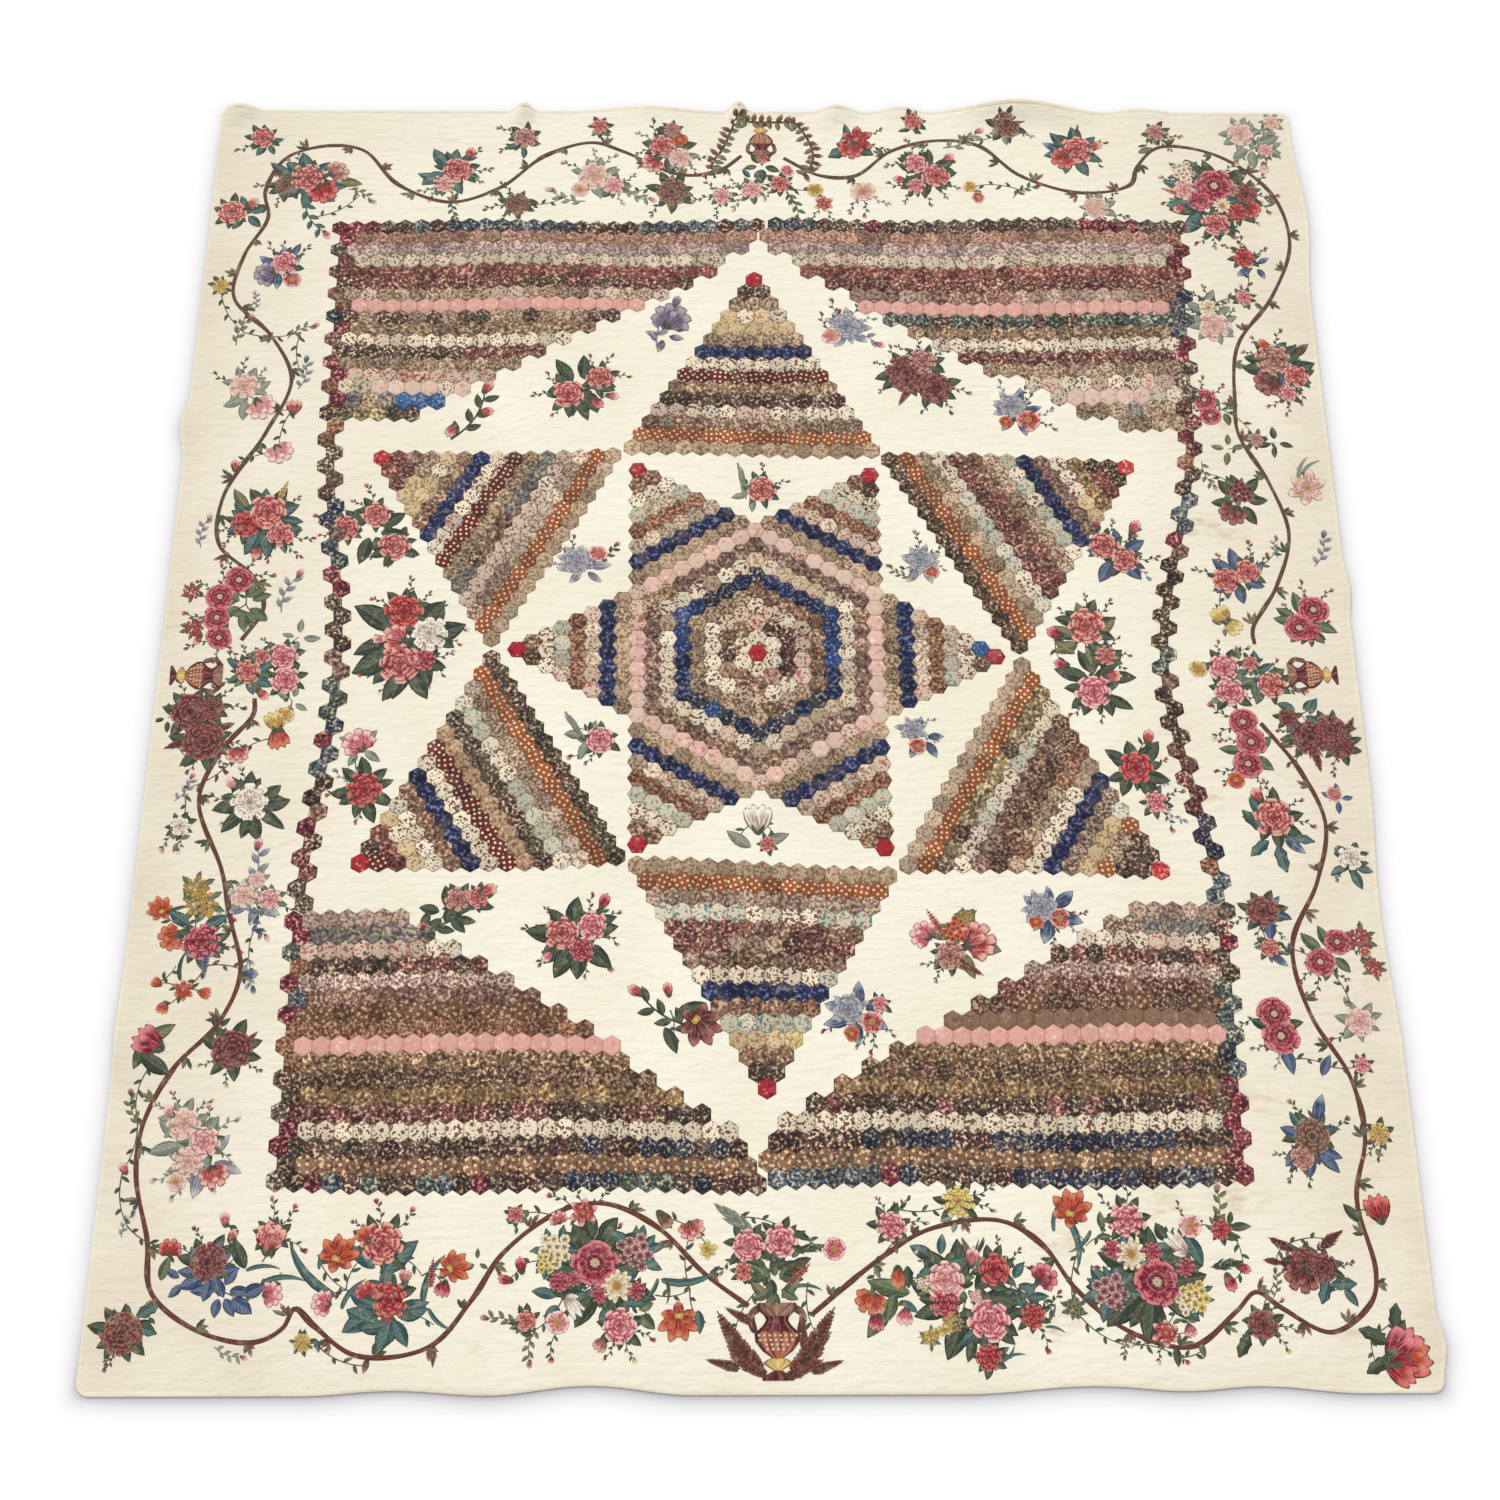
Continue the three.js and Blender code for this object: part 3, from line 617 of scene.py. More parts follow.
# Fabrics of the patches: style, ground, ink and accent colours
FABRICS = {
    "red": ("plain", (166, 38, 50), (118, 20, 38), (204, 150, 118)),
    "coral_red": ("sprig", (180, 60, 58), (128, 26, 38), (216, 166, 144)),
    "cream": ("cream", (232, 217, 190), (116, 76, 62), (98, 100, 80)),
    "cream_teal": ("cream", (212, 200, 176), (108, 132, 122), (158, 106, 86)),
    "cream_mauve": ("cream", (208, 186, 162), (136, 96, 92), (104, 78, 68)),
    "cream_pink": ("cream", (206, 186, 164), (170, 100, 88), (106, 82, 62)),
    "cream_green": ("cream", (214, 196, 172), (118, 110, 80), (154, 92, 78)),
    "cream_dark": ("cream", (200, 176, 150), (108, 70, 56), (60, 44, 40)),
    "yellow_cream": ("cream", (210, 186, 144), (164, 124, 84), (140, 128, 110)),
    "yellow_check": ("speckle", (226, 194, 114), (158, 128, 102), (238, 224, 196)),
    "pale_green": ("cream", (198, 190, 166), (130, 142, 128), (162, 124, 98)),
    "navy": ("floral", (38, 44, 80), (18, 20, 42), (112, 116, 136)),
    "navy_flower": ("dark", (60, 62, 76), (28, 29, 40), (178, 166, 150)),
    "bluebell": ("sprig", (44, 66, 116), (24, 32, 66), (140, 146, 156)),
    "bright_blue": ("sprig", (58, 94, 138), (34, 52, 92), (150, 160, 168)),
    "slate_blue": ("floral", (120, 116, 110), (72, 70, 74), (192, 164, 132)),
    "tan": ("speckle", (160, 132, 108), (100, 72, 56), (200, 180, 154)),
    "tan_pale": ("speckle", (192, 168, 144), (132, 102, 82), (220, 206, 184)),
    "tan_peach": ("floral", (176, 142, 110), (128, 88, 66), (206, 184, 154)),
    "tan_lavender": ("speckle", (174, 142, 126), (108, 78, 74), (234, 210, 188)),
    "khaki": ("speckle", (176, 150, 122), (130, 102, 78), (196, 172, 144)),
    "khaki_pale": ("speckle", (186, 162, 136), (138, 112, 86), (206, 182, 156)),
    "olive": ("floral", (142, 124, 90), (74, 64, 50), (214, 194, 150)),
    "olive_tan": ("speckle", (154, 130, 102), (96, 74, 58), (198, 174, 144)),
    "olive_brown": ("floral", (140, 112, 86), (82, 60, 48), (206, 180, 146)),
    "dark_olive": ("dark", (104, 82, 64), (52, 40, 34), (197, 167, 134)),
    "olive_cream": ("floral", (134, 102, 74), (70, 52, 38), (218, 190, 154)),
    "brown": ("floral", (128, 96, 76), (74, 50, 44), (196, 170, 140)),
    "brown_dots": ("flowers", (108, 74, 54), (68, 44, 34), (180, 150, 116)),
    "brown_mauve": ("floral", (130, 100, 86), (74, 54, 48), (188, 162, 138)),
    "brown_pink": ("speckle", (144, 104, 90), (94, 60, 52), (196, 164, 138)),
    "gold_brown": ("floral", (134, 104, 72), (78, 54, 42), (204, 174, 132)),
    "grey_brown": ("speckle", (136, 112, 94), (82, 64, 56), (196, 174, 148)),
    "mauve_brown": ("floral", (130, 100, 86), (72, 50, 46), (202, 170, 142)),
    "mauve_tan": ("speckle", (156, 128, 108), (104, 78, 68), (198, 178, 152)),
    "lavender": ("speckle", (170, 144, 136), (118, 94, 92), (206, 186, 168)),
    "terracotta": ("speckle", (162, 120, 100), (116, 78, 64), (196, 166, 142)),
    "rust": ("speckle", (134, 92, 70), (86, 50, 40), (186, 150, 118)),
    "rust_spots": ("flowers", (132, 96, 72), (86, 54, 42), (210, 186, 148)),
    "madder": ("floral", (134, 98, 82), (86, 52, 48), (198, 178, 152)),
    "maroon": ("floral", (128, 76, 66), (76, 38, 38), (196, 152, 132)),
    "maroon_dark": ("dark", (132, 82, 74), (66, 40, 40), (212, 180, 154)),
    "wine": ("dark", (130, 52, 62), (62, 28, 38), (204, 160, 142)),
    "slate": ("dark", (92, 98, 102), (42, 46, 54), (188, 178, 158)),
    "maroon_dots": ("spots", (98, 38, 38), (60, 20, 26), (218, 200, 160)),
    "orange_dots": ("spots", (146, 82, 48), (104, 52, 30), (226, 196, 158)),
    "plum": ("floral", (126, 96, 84), (70, 48, 48), (184, 156, 134)),
    "purple_brown": ("speckle", (110, 80, 66), (58, 40, 36), (180, 150, 118)),
    "charcoal": ("dark", (96, 76, 66), (44, 36, 34), (208, 178, 145)),
    "dark_green": ("dark", (86, 76, 60), (44, 40, 36), (188, 160, 127)),
    "dark_teal": ("dark", (92, 98, 90), (46, 52, 52), (195, 188, 155)),
    "dark_floral": ("dark", (92, 62, 56), (50, 34, 38), (219, 190, 158)),
    "black_brown": ("dark", (92, 70, 60), (44, 34, 34), (210, 186, 151)),
    "border_grey": ("dark", (112, 94, 82), (50, 44, 44), (221, 195, 162)),
    "border_blue": ("dark", (74, 80, 92), (34, 36, 46), (190, 173, 145)),
    "rose_print": ("floral", (184, 140, 122), (118, 50, 52), (208, 196, 166)),
    "grey_pink": ("speckle", (172, 142, 126), (120, 90, 82), (204, 180, 156)),
    "pink": ("plain", (218, 164, 150), (202, 144, 132), (228, 196, 178)),
    "pink_pale": ("plain", (218, 188, 170), (194, 150, 132), (226, 204, 186)),
    "salmon": ("plain", (222, 182, 166), (192, 130, 120), (236, 218, 198)),
    "taupe": ("plain", (134, 104, 82), (108, 80, 62), (162, 134, 108)),
}

# How much darker or lighter one patch is than another, and the share of it that a style takes
PATCH_SHADES = (-0.34, 0.32)
SHADE_SHARE = {"plain": 0.25, "cream": 0.55}

# The middle star, ring by ring from its middle patch; the points, row by row from their base.
# Commas part the rows. A fabric named twice turns up twice as often
STAR_RINGS = """
    red, cream, maroon brown dark_floral charcoal rose_print, cream_dark cream cream_pink,
    tan brown olive_tan, navy navy navy navy_flower bluebell, cream khaki_pale cream_green,
    mauve_brown olive_brown brown_mauve plum, pink_pale salmon salmon pink_pale cream_pink"""
POINT_ROWS = """
    olive_tan khaki, navy, cream_pink tan_pale, rust, pale_green pale_green tan_pale, cream,
    dark_olive brown, red"""
BLUE_POINT_ROW = "bright_blue"

# The outer triangles, row by row from the tip
TRIANGLE_ROWS = {
    "triangle_head": """
        red, charcoal, tan, yellow_cream cream, cream yellow_cream, tan olive_tan, navy, cream_pink cream,
        maroon_dots, olive_brown, charcoal dark_floral border_grey, cream cream_mauve,
        brown grey_brown tan, orange_dots, khaki""",
    "triangle_foot": """
        red, dark_green, maroon_dark brown, yellow_check yellow_cream, pale_green cream_teal,
        brown rust brown, navy, cream cream_teal, purple_brown brown_mauve, maroon_dark tan dark_floral,
        maroon_dark brown madder, cream_teal cream, mauve_tan grey_brown, orange_dots, khaki""",
    "triangle_head_left": """
        coral_red, maroon, plum maroon_dark, tan yellow_cream, yellow_cream cream, tan brown, navy,
        cream cream_pink, maroon_dots, olive_tan, charcoal slate_blue brown, cream cream_mauve,
        mauve_tan tan_pale, orange_dots, khaki khaki_pale""",
    "triangle_foot_left": """
        red, maroon_dots dark_floral, maroon_dark maroon, orange_dots yellow_cream cream, cream, brown,
        navy, cream, maroon_dots, tan_peach, dark_green charcoal border_grey, cream pale_green cream_teal,
        tan tan_pale, orange_dots, dark_green charcoal""",
    "triangle_foot_right": """
        coral_red, charcoal, charcoal dark_floral olive, orange_dots tan, yellow_cream cream_teal,
        grey_brown, navy, cream khaki_pale, tan rust, purple_brown, purple_brown plum, cream_teal cream,
        dark_olive olive, orange_dots, khaki_pale""",
    "triangle_head_right": """
        coral_red, charcoal, black_brown maroon, gold_brown tan, yellow_cream cream, brown_mauve, navy,
        pale_green cream, tan, maroon brown, maroon_dark, cream_teal cream, olive_tan khaki, orange_dots,
        dark_olive charcoal""",
}

# The corner wedges, row by row from the border row
WEDGE_ROWS = {
    "wedge_head_left": """
        slate charcoal black_brown border_blue dark_floral wine border_grey, terracotta, lavender,
        cream_green, maroon, maroon_dark maroon_dark dark_olive, cream_mauve tan, pink,
        charcoal dark_green tan, olive_brown, cream_green cream, maroon_dark black_brown, olive_tan,
        cream_pink cream rose_print, pink_pale cream_green, bright_blue slate_blue tan bright_blue,
        olive dark_green""",
    "wedge_head_right": """
        slate charcoal black_brown border_blue dark_floral wine border_grey, terracotta, lavender,
        cream_green, maroon, maroon_dark, brown_pink grey_pink, pink, dark_teal dark_teal charcoal,
        olive_brown, cream, maroon_dark, olive_tan tan, cream_pink cream, pink_pale cream_green,
        bright_blue tan slate_blue, olive_tan""",
    "wedge_foot_left": """
        black_brown charcoal slate dark_teal dark_floral navy_flower wine, rust_spots,
        dark_floral charcoal navy_flower, cream, black_brown black_brown maroon_dark, gold_brown,
        purple_brown dark_olive, olive_cream, pink, rust, brown_dots, madder brown_pink, tan_lavender,
        charcoal maroon_dark, cream_pink cream, slate_blue, grey_pink tan_pale""",
    "wedge_foot_right": """
        black_brown charcoal slate border_blue dark_floral navy_flower wine, rust_spots,
        dark_floral charcoal navy_flower, cream, black_brown black_brown maroon_dark, gold_brown,
        purple_brown dark_olive, olive_cream, pink, taupe, brown_dots purple_brown, madder maroon_dark,
        tan_lavender, charcoal maroon_dark, cream_pink cream, slate_blue grey_brown, grey_pink tan_pale""",
}
# The side chains, and the first patch of each wedge row
CHAIN_FABRICS = """
    wine charcoal maroon_dark slate rust navy_flower black_brown wine dark_teal plum border_grey madder"""

# The mosaic's layout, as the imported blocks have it, mm
PATCH_ACROSS = 36
ROW_STEP = 31.2
STAR_REACH = 8  # rings of the star's body, and rows of each of its points
STAR_SCALE = 0.985
FRAME_ROWS = 68
WEDGE_LAST_ROW = 16
SHOULDER = 16
CHAIN_PITCH = 36
CHAIN_EASE = 0.997
ROW_WAVE_RISE = 4
ROW_WAVE_LENGTH = 640
ROW_WAVE_LEAN = 900
# The middles of each triangle's patches at its tip and at the ends of its last row
TRIANGLES = {
    "triangle_head": ((8, 912), (-258, 481), (252, 484)),
    "triangle_head_left": ((-785, 446), (-544, 25), (-299, 462)),
    "triangle_foot_left": ((-788, -468), (-287, -449), (-543, -21)),
    "triangle_foot": ((2, -919), (250, -484), (-246, -469)),
    "triangle_foot_right": ((796, -470), (545, -21), (291, -462)),
    "triangle_head_right": ((797, 453), (290, 461), (542, 25)),
}
# The frame's left and right edge: its ends, how far the waist goes inwards, and which way that is
SIDES = {
    "left": {"head": (-901, 1025), "foot": (-914, -1093), "waist": 44, "inward": 1},
    "right": {"head": (969, 1064), "foot": (905, -1099), "waist": 86, "inward": -1},
}
# How far the frame's rows slip towards the head end, in rows: row, slip
ROW_SLIPS = {
    "left": ((0, 0.3), (6, 0.72), (14, 1.1), (16, 0.9), (52, 0.4), (60, 0.4), (68, -0.15)),
    "right": ((0, 0.36), (13, 0.5), (16, 0.15), (52, 1.1), (60, 1.0), (68, 0.2)),
}
# The corner wedges: side, end, distance from patch to patch in a row, patches in each row
WEDGES = {
    "wedge_head_left": (
        "left", "head", 35.3, (27, 26, 26, 24, 24, 22, 21, 19, 18, 16, 15, 13, 12, 10, 9, 7, 6)),
    "wedge_head_right": (
        "right", "head", 36.4, (26, 26, 26, 24, 24, 22, 21, 20, 19, 17, 16, 14, 13, 10, 9, 7, 5)),
    "wedge_foot_left": (
        "left", "foot", 34.4, (27, 26, 26, 25, 24, 22, 21, 19, 19, 17, 16, 14, 13, 11, 10, 8, 7)),
    "wedge_foot_right": (
        "right", "foot", 35.5, (26, 26, 26, 25, 24, 22, 21, 19, 18, 16, 15, 13, 12, 10, 9, 7, 6)),
}
CELL_CORNERS = ((0, 2), (-1, 1), (-1, -1), (0, -2), (1, -1), (1, 1))
# A patch's rings: share of its width, share of its height, how far the corners dip
PATCH_RINGS = ((1.0, 0.0, 0.0), (0.9, 0.8, 0.18), (0.5, 1.0, 0.0))
PATCH_CROWN = 1.04
PATCH_HEIGHTS = (-0.2, 0.2)
PATCH_TILTS = (-0.012, 0.012)
PRINT_SHIFTS = (-40, 40)
PRINT_DEPTHS = (0, 60)
RUN_CHANCE = 0.35


def wavy(point):
    x, y = point
    wave = ROW_WAVE_RISE * math.sin(math.tau * (x / ROW_WAVE_LENGTH + y / ROW_WAVE_LEAN))
    return np.array([x, y + wave]) + STAR_AT


class Picker:
    """Picks the fabric of each patch in a row, with short runs of one fabric."""

    def __init__(self, seed):
        self.random = random.Random(seed)
        self.last = {}

    def pick(self, row, choices):
        if row in self.last and self.random.random() < RUN_CHANCE:
            return self.last[row]
        self.last[row] = self.random.choice(choices.split())
        return self.last[row]


def patch_points(place, cell, chance):
    """Points of one domed hexagon patch, rim first and its top last, and its middle."""
    u, v = cell
    corners = np.array([wavy(place(u + du, v + dv / 3)) for du, dv in CELL_CORNERS])
    middle = corners.mean(0)
    if np.cross(corners[1] - corners[0], corners[2] - corners[1]) < 0:
        corners = corners[::-1]
    rim = np.stack([corners, (corners + np.roll(corners, -1, 0)) / 2], 1).reshape(12, 2)
    high = PATCH_HIGH - PATCH_LOW + chance.uniform(*PATCH_HEIGHTS)
    tilt = np.array([chance.uniform(*PATCH_TILTS), chance.uniform(*PATCH_TILTS)])
    rings = []
    for outline, (share, rise, dip) in zip((rim, rim, corners), PATCH_RINGS):
        ring = middle + (outline - middle) * share
        height = high * rise * (1 - dip * (np.arange(len(ring)) % 2 == 0) * rise)
        rings.append(np.column_stack([ring, height + (ring - middle) @ tilt * rise]))
    rings.append(np.array([[*middle, high * PATCH_CROWN]]))
    return np.concatenate(rings), middle


def patch_faces():
    """Faces of a patch: 12 points on the rim, 12 inside it, 6 on the dome and its top."""
    faces = [[i, (i + 1) % 12, 12 + (i + 1) % 12, 12 + i] for i in range(12)]
    for i in range(6):
        after = (i + 1) % 6
        faces.append([12 + 2 * i, 12 + 2 * i + 1, 24 + i])
        faces.append([12 + 2 * i + 1, 12 + (2 * i + 2) % 12, 24 + after, 24 + i])
        faces.append([24 + i, 24 + after, 30])
    return faces


PATCH_FACES = patch_faces()


def add_patch(block, place, cell, fabric, chance):
    """One domed hexagon patch, with its print turned and shifted by chance."""
    points, middle = patch_points(place, cell, chance)
    style, *inks = FABRICS[fabric]
    *marks, feature = STYLES[style]
    angle = chance.uniform(0, math.tau)
    turn = np.array([[math.cos(angle), -math.sin(angle)], [math.sin(angle), math.cos(angle)]])
    shift = [chance.uniform(*PRINT_SHIFTS), chance.uniform(*PRINT_SHIFTS)]
    flat = (points[:, :2] - middle) @ turn / feature + shift
    print_at = np.column_stack([flat, np.full(len(points), chance.uniform(*PRINT_DEPTHS))])
    points[:, 2] += PATCH_LOW + swell(points[:, 0], points[:, 1])
    shade = 1 + chance.uniform(*PATCH_SHADES) * SHADE_SHARE.get(style, 1)
    ground, ink, accent = [linear(part) * [shade, shade, shade, 1] for part in inks]
    # seam is 0 on the rim, where the print material paints shade in the seams between patches
    seam = np.ones((len(points), 1))
    seam[:12] = 0
    block.add(points, PATCH_FACES, ground=ground, ink=ink, accent=accent, print_at=print_at, style=marks,
              seam=seam)


def star_place(u, v):
    return v * ROW_STEP * STAR_SCALE, u * PATCH_ACROSS / 2 * STAR_SCALE


def star_choices(ring, v):
    """The fabrics of a patch in a ring of the star, or in a row of its points."""
    if ring <= STAR_REACH:
        return STAR_RINGS.split(",")[ring]
    if v > STAR_REACH and ring == 2 * STAR_REACH - 1:
        return BLUE_POINT_ROW
    return POINT_ROWS.split(",")[ring - STAR_REACH - 1]


def make_star(cloth):
    block = Pieces()
    picker = Picker(SEEDS["star"])
    reach = 2 * STAR_REACH
    for v in range(-reach, reach + 1):
        for u in range(-2 * reach, 2 * reach + 1):
            if (u - v) % 2:
                continue
            thirds = (v, (u - v) // 2, -(u + v) // 2)
            if max(thirds) > STAR_REACH and min(thirds) < -STAR_REACH:
                continue
            ring = max(abs(third) for third in thirds)
            add_patch(block, star_place, (u, v), picker.pick(ring, star_choices(ring, v)), picker.random)
    block.make("patches_star", cloth, "mosaic_prints", ["mosaic_star"])


def make_triangle(name, cloth, seed):
    apex, base_a, base_b = [np.array(point, float) for point in TRIANGLES[name]]
    rows = TRIANGLE_ROWS[name].split(",")
    last = len(rows) - 1
    block = Pieces()
    picker = Picker(seed)

    def place(u, v):
        return base_a + (base_b - base_a) * (u - v) / (2 * last) + (apex - base_a) * v / last

    for v in range(last + 1):
        for k in range(last - v + 1):
            add_patch(block, place, (2 * k + v, v), picker.pick(v, rows[last - v]), picker.random)
    block.make("patches_" + name, cloth, "mosaic_prints", [name])


def slip_at(side, row):
    """The slip at a row, even between the named rows and beyond the last."""
    slips = ROW_SLIPS[side]
    after = next((i for i in range(1, len(slips)) if slips[i][0] > row), len(slips) - 1)
    (low_row, low), (high_row, high) = slips[after - 1], slips[after]
    return low + (high - low) * (row - low_row) / (high_row - low_row)


def frame_place(side, pitch, u, row):
    """Places a cell of the outer frame: rows count down from the head, u inwards from the side."""
    edge = SIDES[side]
    v = row - slip_at(side, row)
    share = v / FRAME_ROWS
    waist = bell((v - FRAME_ROWS / 2) / (FRAME_ROWS / 2 - SHOULDER))
    x = edge["head"][0] + (edge["foot"][0] - edge["head"][0]) * share
    x += edge["inward"] * (edge["waist"] * float(waist) + pitch * u / 2)
    left, right = SIDES["left"], SIDES["right"]
    across = (x - left["head"][0]) / (right["head"][0] - left["head"][0])
    head_y = left["head"][1] + (right["head"][1] - left["head"][1]) * across
    foot_y = left["foot"][1] + (right["foot"][1] - left["foot"][1]) * across
    return x, head_y + (foot_y - head_y) * share


def make_wedge(name, cloth, seed):
    side, end, pitch, patches = WEDGES[name]
    rows = WEDGE_ROWS[name].split(",")
    block = Pieces()
    picker = Picker(seed)
    for row, count in enumerate(patches):
        v = row if end == "head" else FRAME_ROWS - row
        for k in range(count):
            kind, choices = (row, rows[row]) if k else ("chain", CHAIN_FABRICS)
            add_patch(block, lambda u, w: frame_place(side, pitch, u, w), (2 * k + row % 2, v),
                      picker.pick(kind, choices), picker.random)
    block.make("patches_" + name, cloth, "mosaic_prints", [name])


def make_chain(side, cloth, seed):
    block = Pieces()
    picker = Picker(seed)
    middle = FRAME_ROWS / 2
    for v in range(WEDGE_LAST_ROW + 1, FRAME_ROWS - WEDGE_LAST_ROW):
        add_patch(block, lambda u, w: frame_place(side, CHAIN_PITCH, u, middle + (w - middle) * CHAIN_EASE),
                  (v % 2, v), picker.pick("chain", CHAIN_FABRICS), picker.random)
    block.make("patches_chain_" + side, cloth, "mosaic_prints", ["chain_" + side])


def make_mosaic():
    cloth = print_cloth()
    make_star(cloth)
    for seed, name in enumerate(TRIANGLES):
        make_triangle(name, cloth, SEEDS["triangles"] + seed)
    for seed, name in enumerate(WEDGES):
        make_wedge(name, cloth, SEEDS["wedges"] + seed)
    for seed, side in enumerate(SIDES):
        make_chain(side, cloth, SEEDS["chains"] + seed)


# Printed colours of the applique: tint, light and ink
COLOURS = {
    "crimson": ((150, 28, 50), (228, 138, 144), (80, 14, 32)),
    "red": ((158, 32, 42), (222, 124, 112), (84, 16, 28)),
    "coral": ((172, 56, 60), (240, 184, 166), (108, 24, 36)),
    "pink": ((188, 78, 92), (246, 206, 196), (136, 36, 58)),
    "pale_pink": ((206, 132, 126), (246, 218, 206), (156, 74, 84)),
    "faded": ((216, 172, 154), (238, 214, 196), (162, 110, 102)),
    "faded_blue": ((138, 140, 150), (196, 190, 186), (90, 88, 106)),
    "orange": ((182, 70, 46), (216, 130, 92), (108, 32, 30)),
    "gold": ((196, 156, 78), (234, 212, 142), (108, 72, 40)),
    "cream": ((230, 214, 172), (246, 238, 212), (120, 66, 50)),
    "white": ((234, 222, 200), (246, 240, 226), (124, 84, 74)),
    "yellow": ((208, 178, 86), (238, 224, 158), (116, 84, 44)),
    "brown": ((112, 74, 60), (180, 140, 112), (56, 34, 32)),
    "brown_red": ((112, 54, 52), (172, 112, 102), (54, 26, 30)),
    "brown_pink": ((166, 102, 92), (220, 178, 158), (86, 44, 46)),
    "maroon": ((100, 40, 46), (170, 108, 98), (50, 22, 30)),
    "mauve": ((150, 84, 88), (226, 186, 176), (70, 32, 42)),
    "purple_grey": ((112, 98, 116), (178, 166, 170), (58, 48, 66)),
    "blue": ((72, 90, 122), (150, 162, 172), (36, 44, 72)),
    "teal": ((52, 82, 84), (112, 138, 126), (22, 40, 44)),
    "navy_leaf": ((56, 70, 104), (118, 134, 156), (28, 36, 60)),
    "green": ((70, 88, 62), (132, 142, 104), (34, 46, 34)),
    "dark_green": ((52, 62, 52), (102, 110, 86), (28, 34, 30)),
    "olive": ((98, 96, 66), (154, 148, 110), (52, 50, 38)),
    "grey_green": ((120, 126, 112), (170, 172, 152), (72, 76, 70)),
    "bark": ((98, 68, 54), (142, 110, 86), (52, 32, 30)),
    "bark_red": ((104, 58, 48), (146, 96, 78), (52, 26, 26)),
    "urn_clay": ((160, 88, 66), (204, 148, 116), (82, 36, 34)),
}
LEAF_MARK = 0.5  # marks above this are leaves, below it petals
LEAF_MARKS = (0.51, 0.99)
PETAL_MARKS = (0.01, 0.49)
BLADE_SHADES = (0.88, 1.12)
VEINED = ("teal", "navy_leaf", "green", "dark_green", "olive", "grey_green")
FOLIAGE = {"faded": "grey_green", "faded_blue": "faded_blue", "pale_pink": "green", "white": "dark_green"}
FULLER = 1.14  # open flowers are drawn this much larger than the tables say

# Twigs beside the larger blooms: bloom size and lengths in mm, directions in degrees
TWIG_FROM = 44
TWIG_LENGTHS = (30, 46)
TWIG_SPREADS = (-48, 8, 56)
TWIG_ROOM = 38  # from the cover's rim, where no twig reaches
TWIG_START = 0.42  # share of the bloom's size
LONE_WAY = 40  # direction of the twigs of a bloom that stands alone

# Stalks between the motifs of a spray, mm
STALK_WIDTH = 2.6
LONGEST_STALK = 130
STALK_LEAF_STEP = 20
BARK_CHANCE = 0.4

# Outlines of blades: power of the swelling at the base and of the taper at the tip, then lobes
BLADES = {
    "leaf": (0.75, 0.95, 0), "strap": (0.35, 0.8, 0), "petal": (0.9, 0.36, 0), "point": (0.8, 0.7, 0),
    "toothed": (0.7, 0.8, 3), "frill": (0.9, 0.3, 2),
}
LOBE_DEPTH = 0.3
THINNEST = 0.03
# Points along and across a blade; blades longer than the first length, mm, are fine, and longer than the
# second plain
BLADE_POINTS = {"fine": (9, 5), "plain": (7, 5), "small": (5, 3)}
LONG_BLADE = 34
SHORT_BLADE = 12
STRAIGHT = 0.02  # a bend, in radians, too slight to draw
STEM_ROWS = 8
STEM_TAPER = 0.4
DISC_RISES = (0.35, 0.28, 0.0)  # top, ring, rim


def heading(turn):
    """A direction on the quilt: 0 to the head end, 90 to the right."""
    angle = math.radians(turn)
    return np.array([math.sin(angle), math.cos(angle)])


def turn_of(run):
    """The turn whose heading points along a run."""
    return math.degrees(math.atan2(*run))


def bowed(start, end, bow, share):
    """A place at a share of the way between two points, bowed sideways by a share of their distance."""
    run = end - start
    side = np.array([run[1], -run[0]])
    return start + np.multiply.outer(share, run) + np.multiply.outer(bow * 4 * share * (1 - share), side)


def curve(turn, bend, length, along):
    """Places and right-hand directions along a line that sets out at turn and curves by bend degrees."""
    start, bent = math.radians(turn), math.radians(bend)
    way = start + bent * along
    if abs(bent) < STRAIGHT:
        middle = np.outer(along * length, heading(turn))
    else:
        ahead = np.column_stack([math.cos(start) - np.cos(way), np.sin(way) - math.sin(start)])
        middle = length / bent * ahead
    return middle, np.column_stack([np.cos(way), -np.sin(way)])


def blade_width(shape, along):
    """A blade's width along it, as shares of its widest."""
    swelling, taper, lobes = BLADES[shape]
    width = along ** swelling * (1 - along) ** taper
    width = width / width.max() * (1 - LOBE_DEPTH * np.abs(np.sin(along * math.pi * lobes)))
    return np.maximum(width, THINNEST)


def inks_of(colour, tone=0.0, light_tone=0.0):
    """Tint, light and ink of a colour, the first two darkened by their tones."""
    tint, light, ink = [linear(part) for part in COLOURS[colour]]
    tint = tint * (1 - tone) + ink * tone
    return tint, light * (1 - light_tone) + tint * light_tone, ink


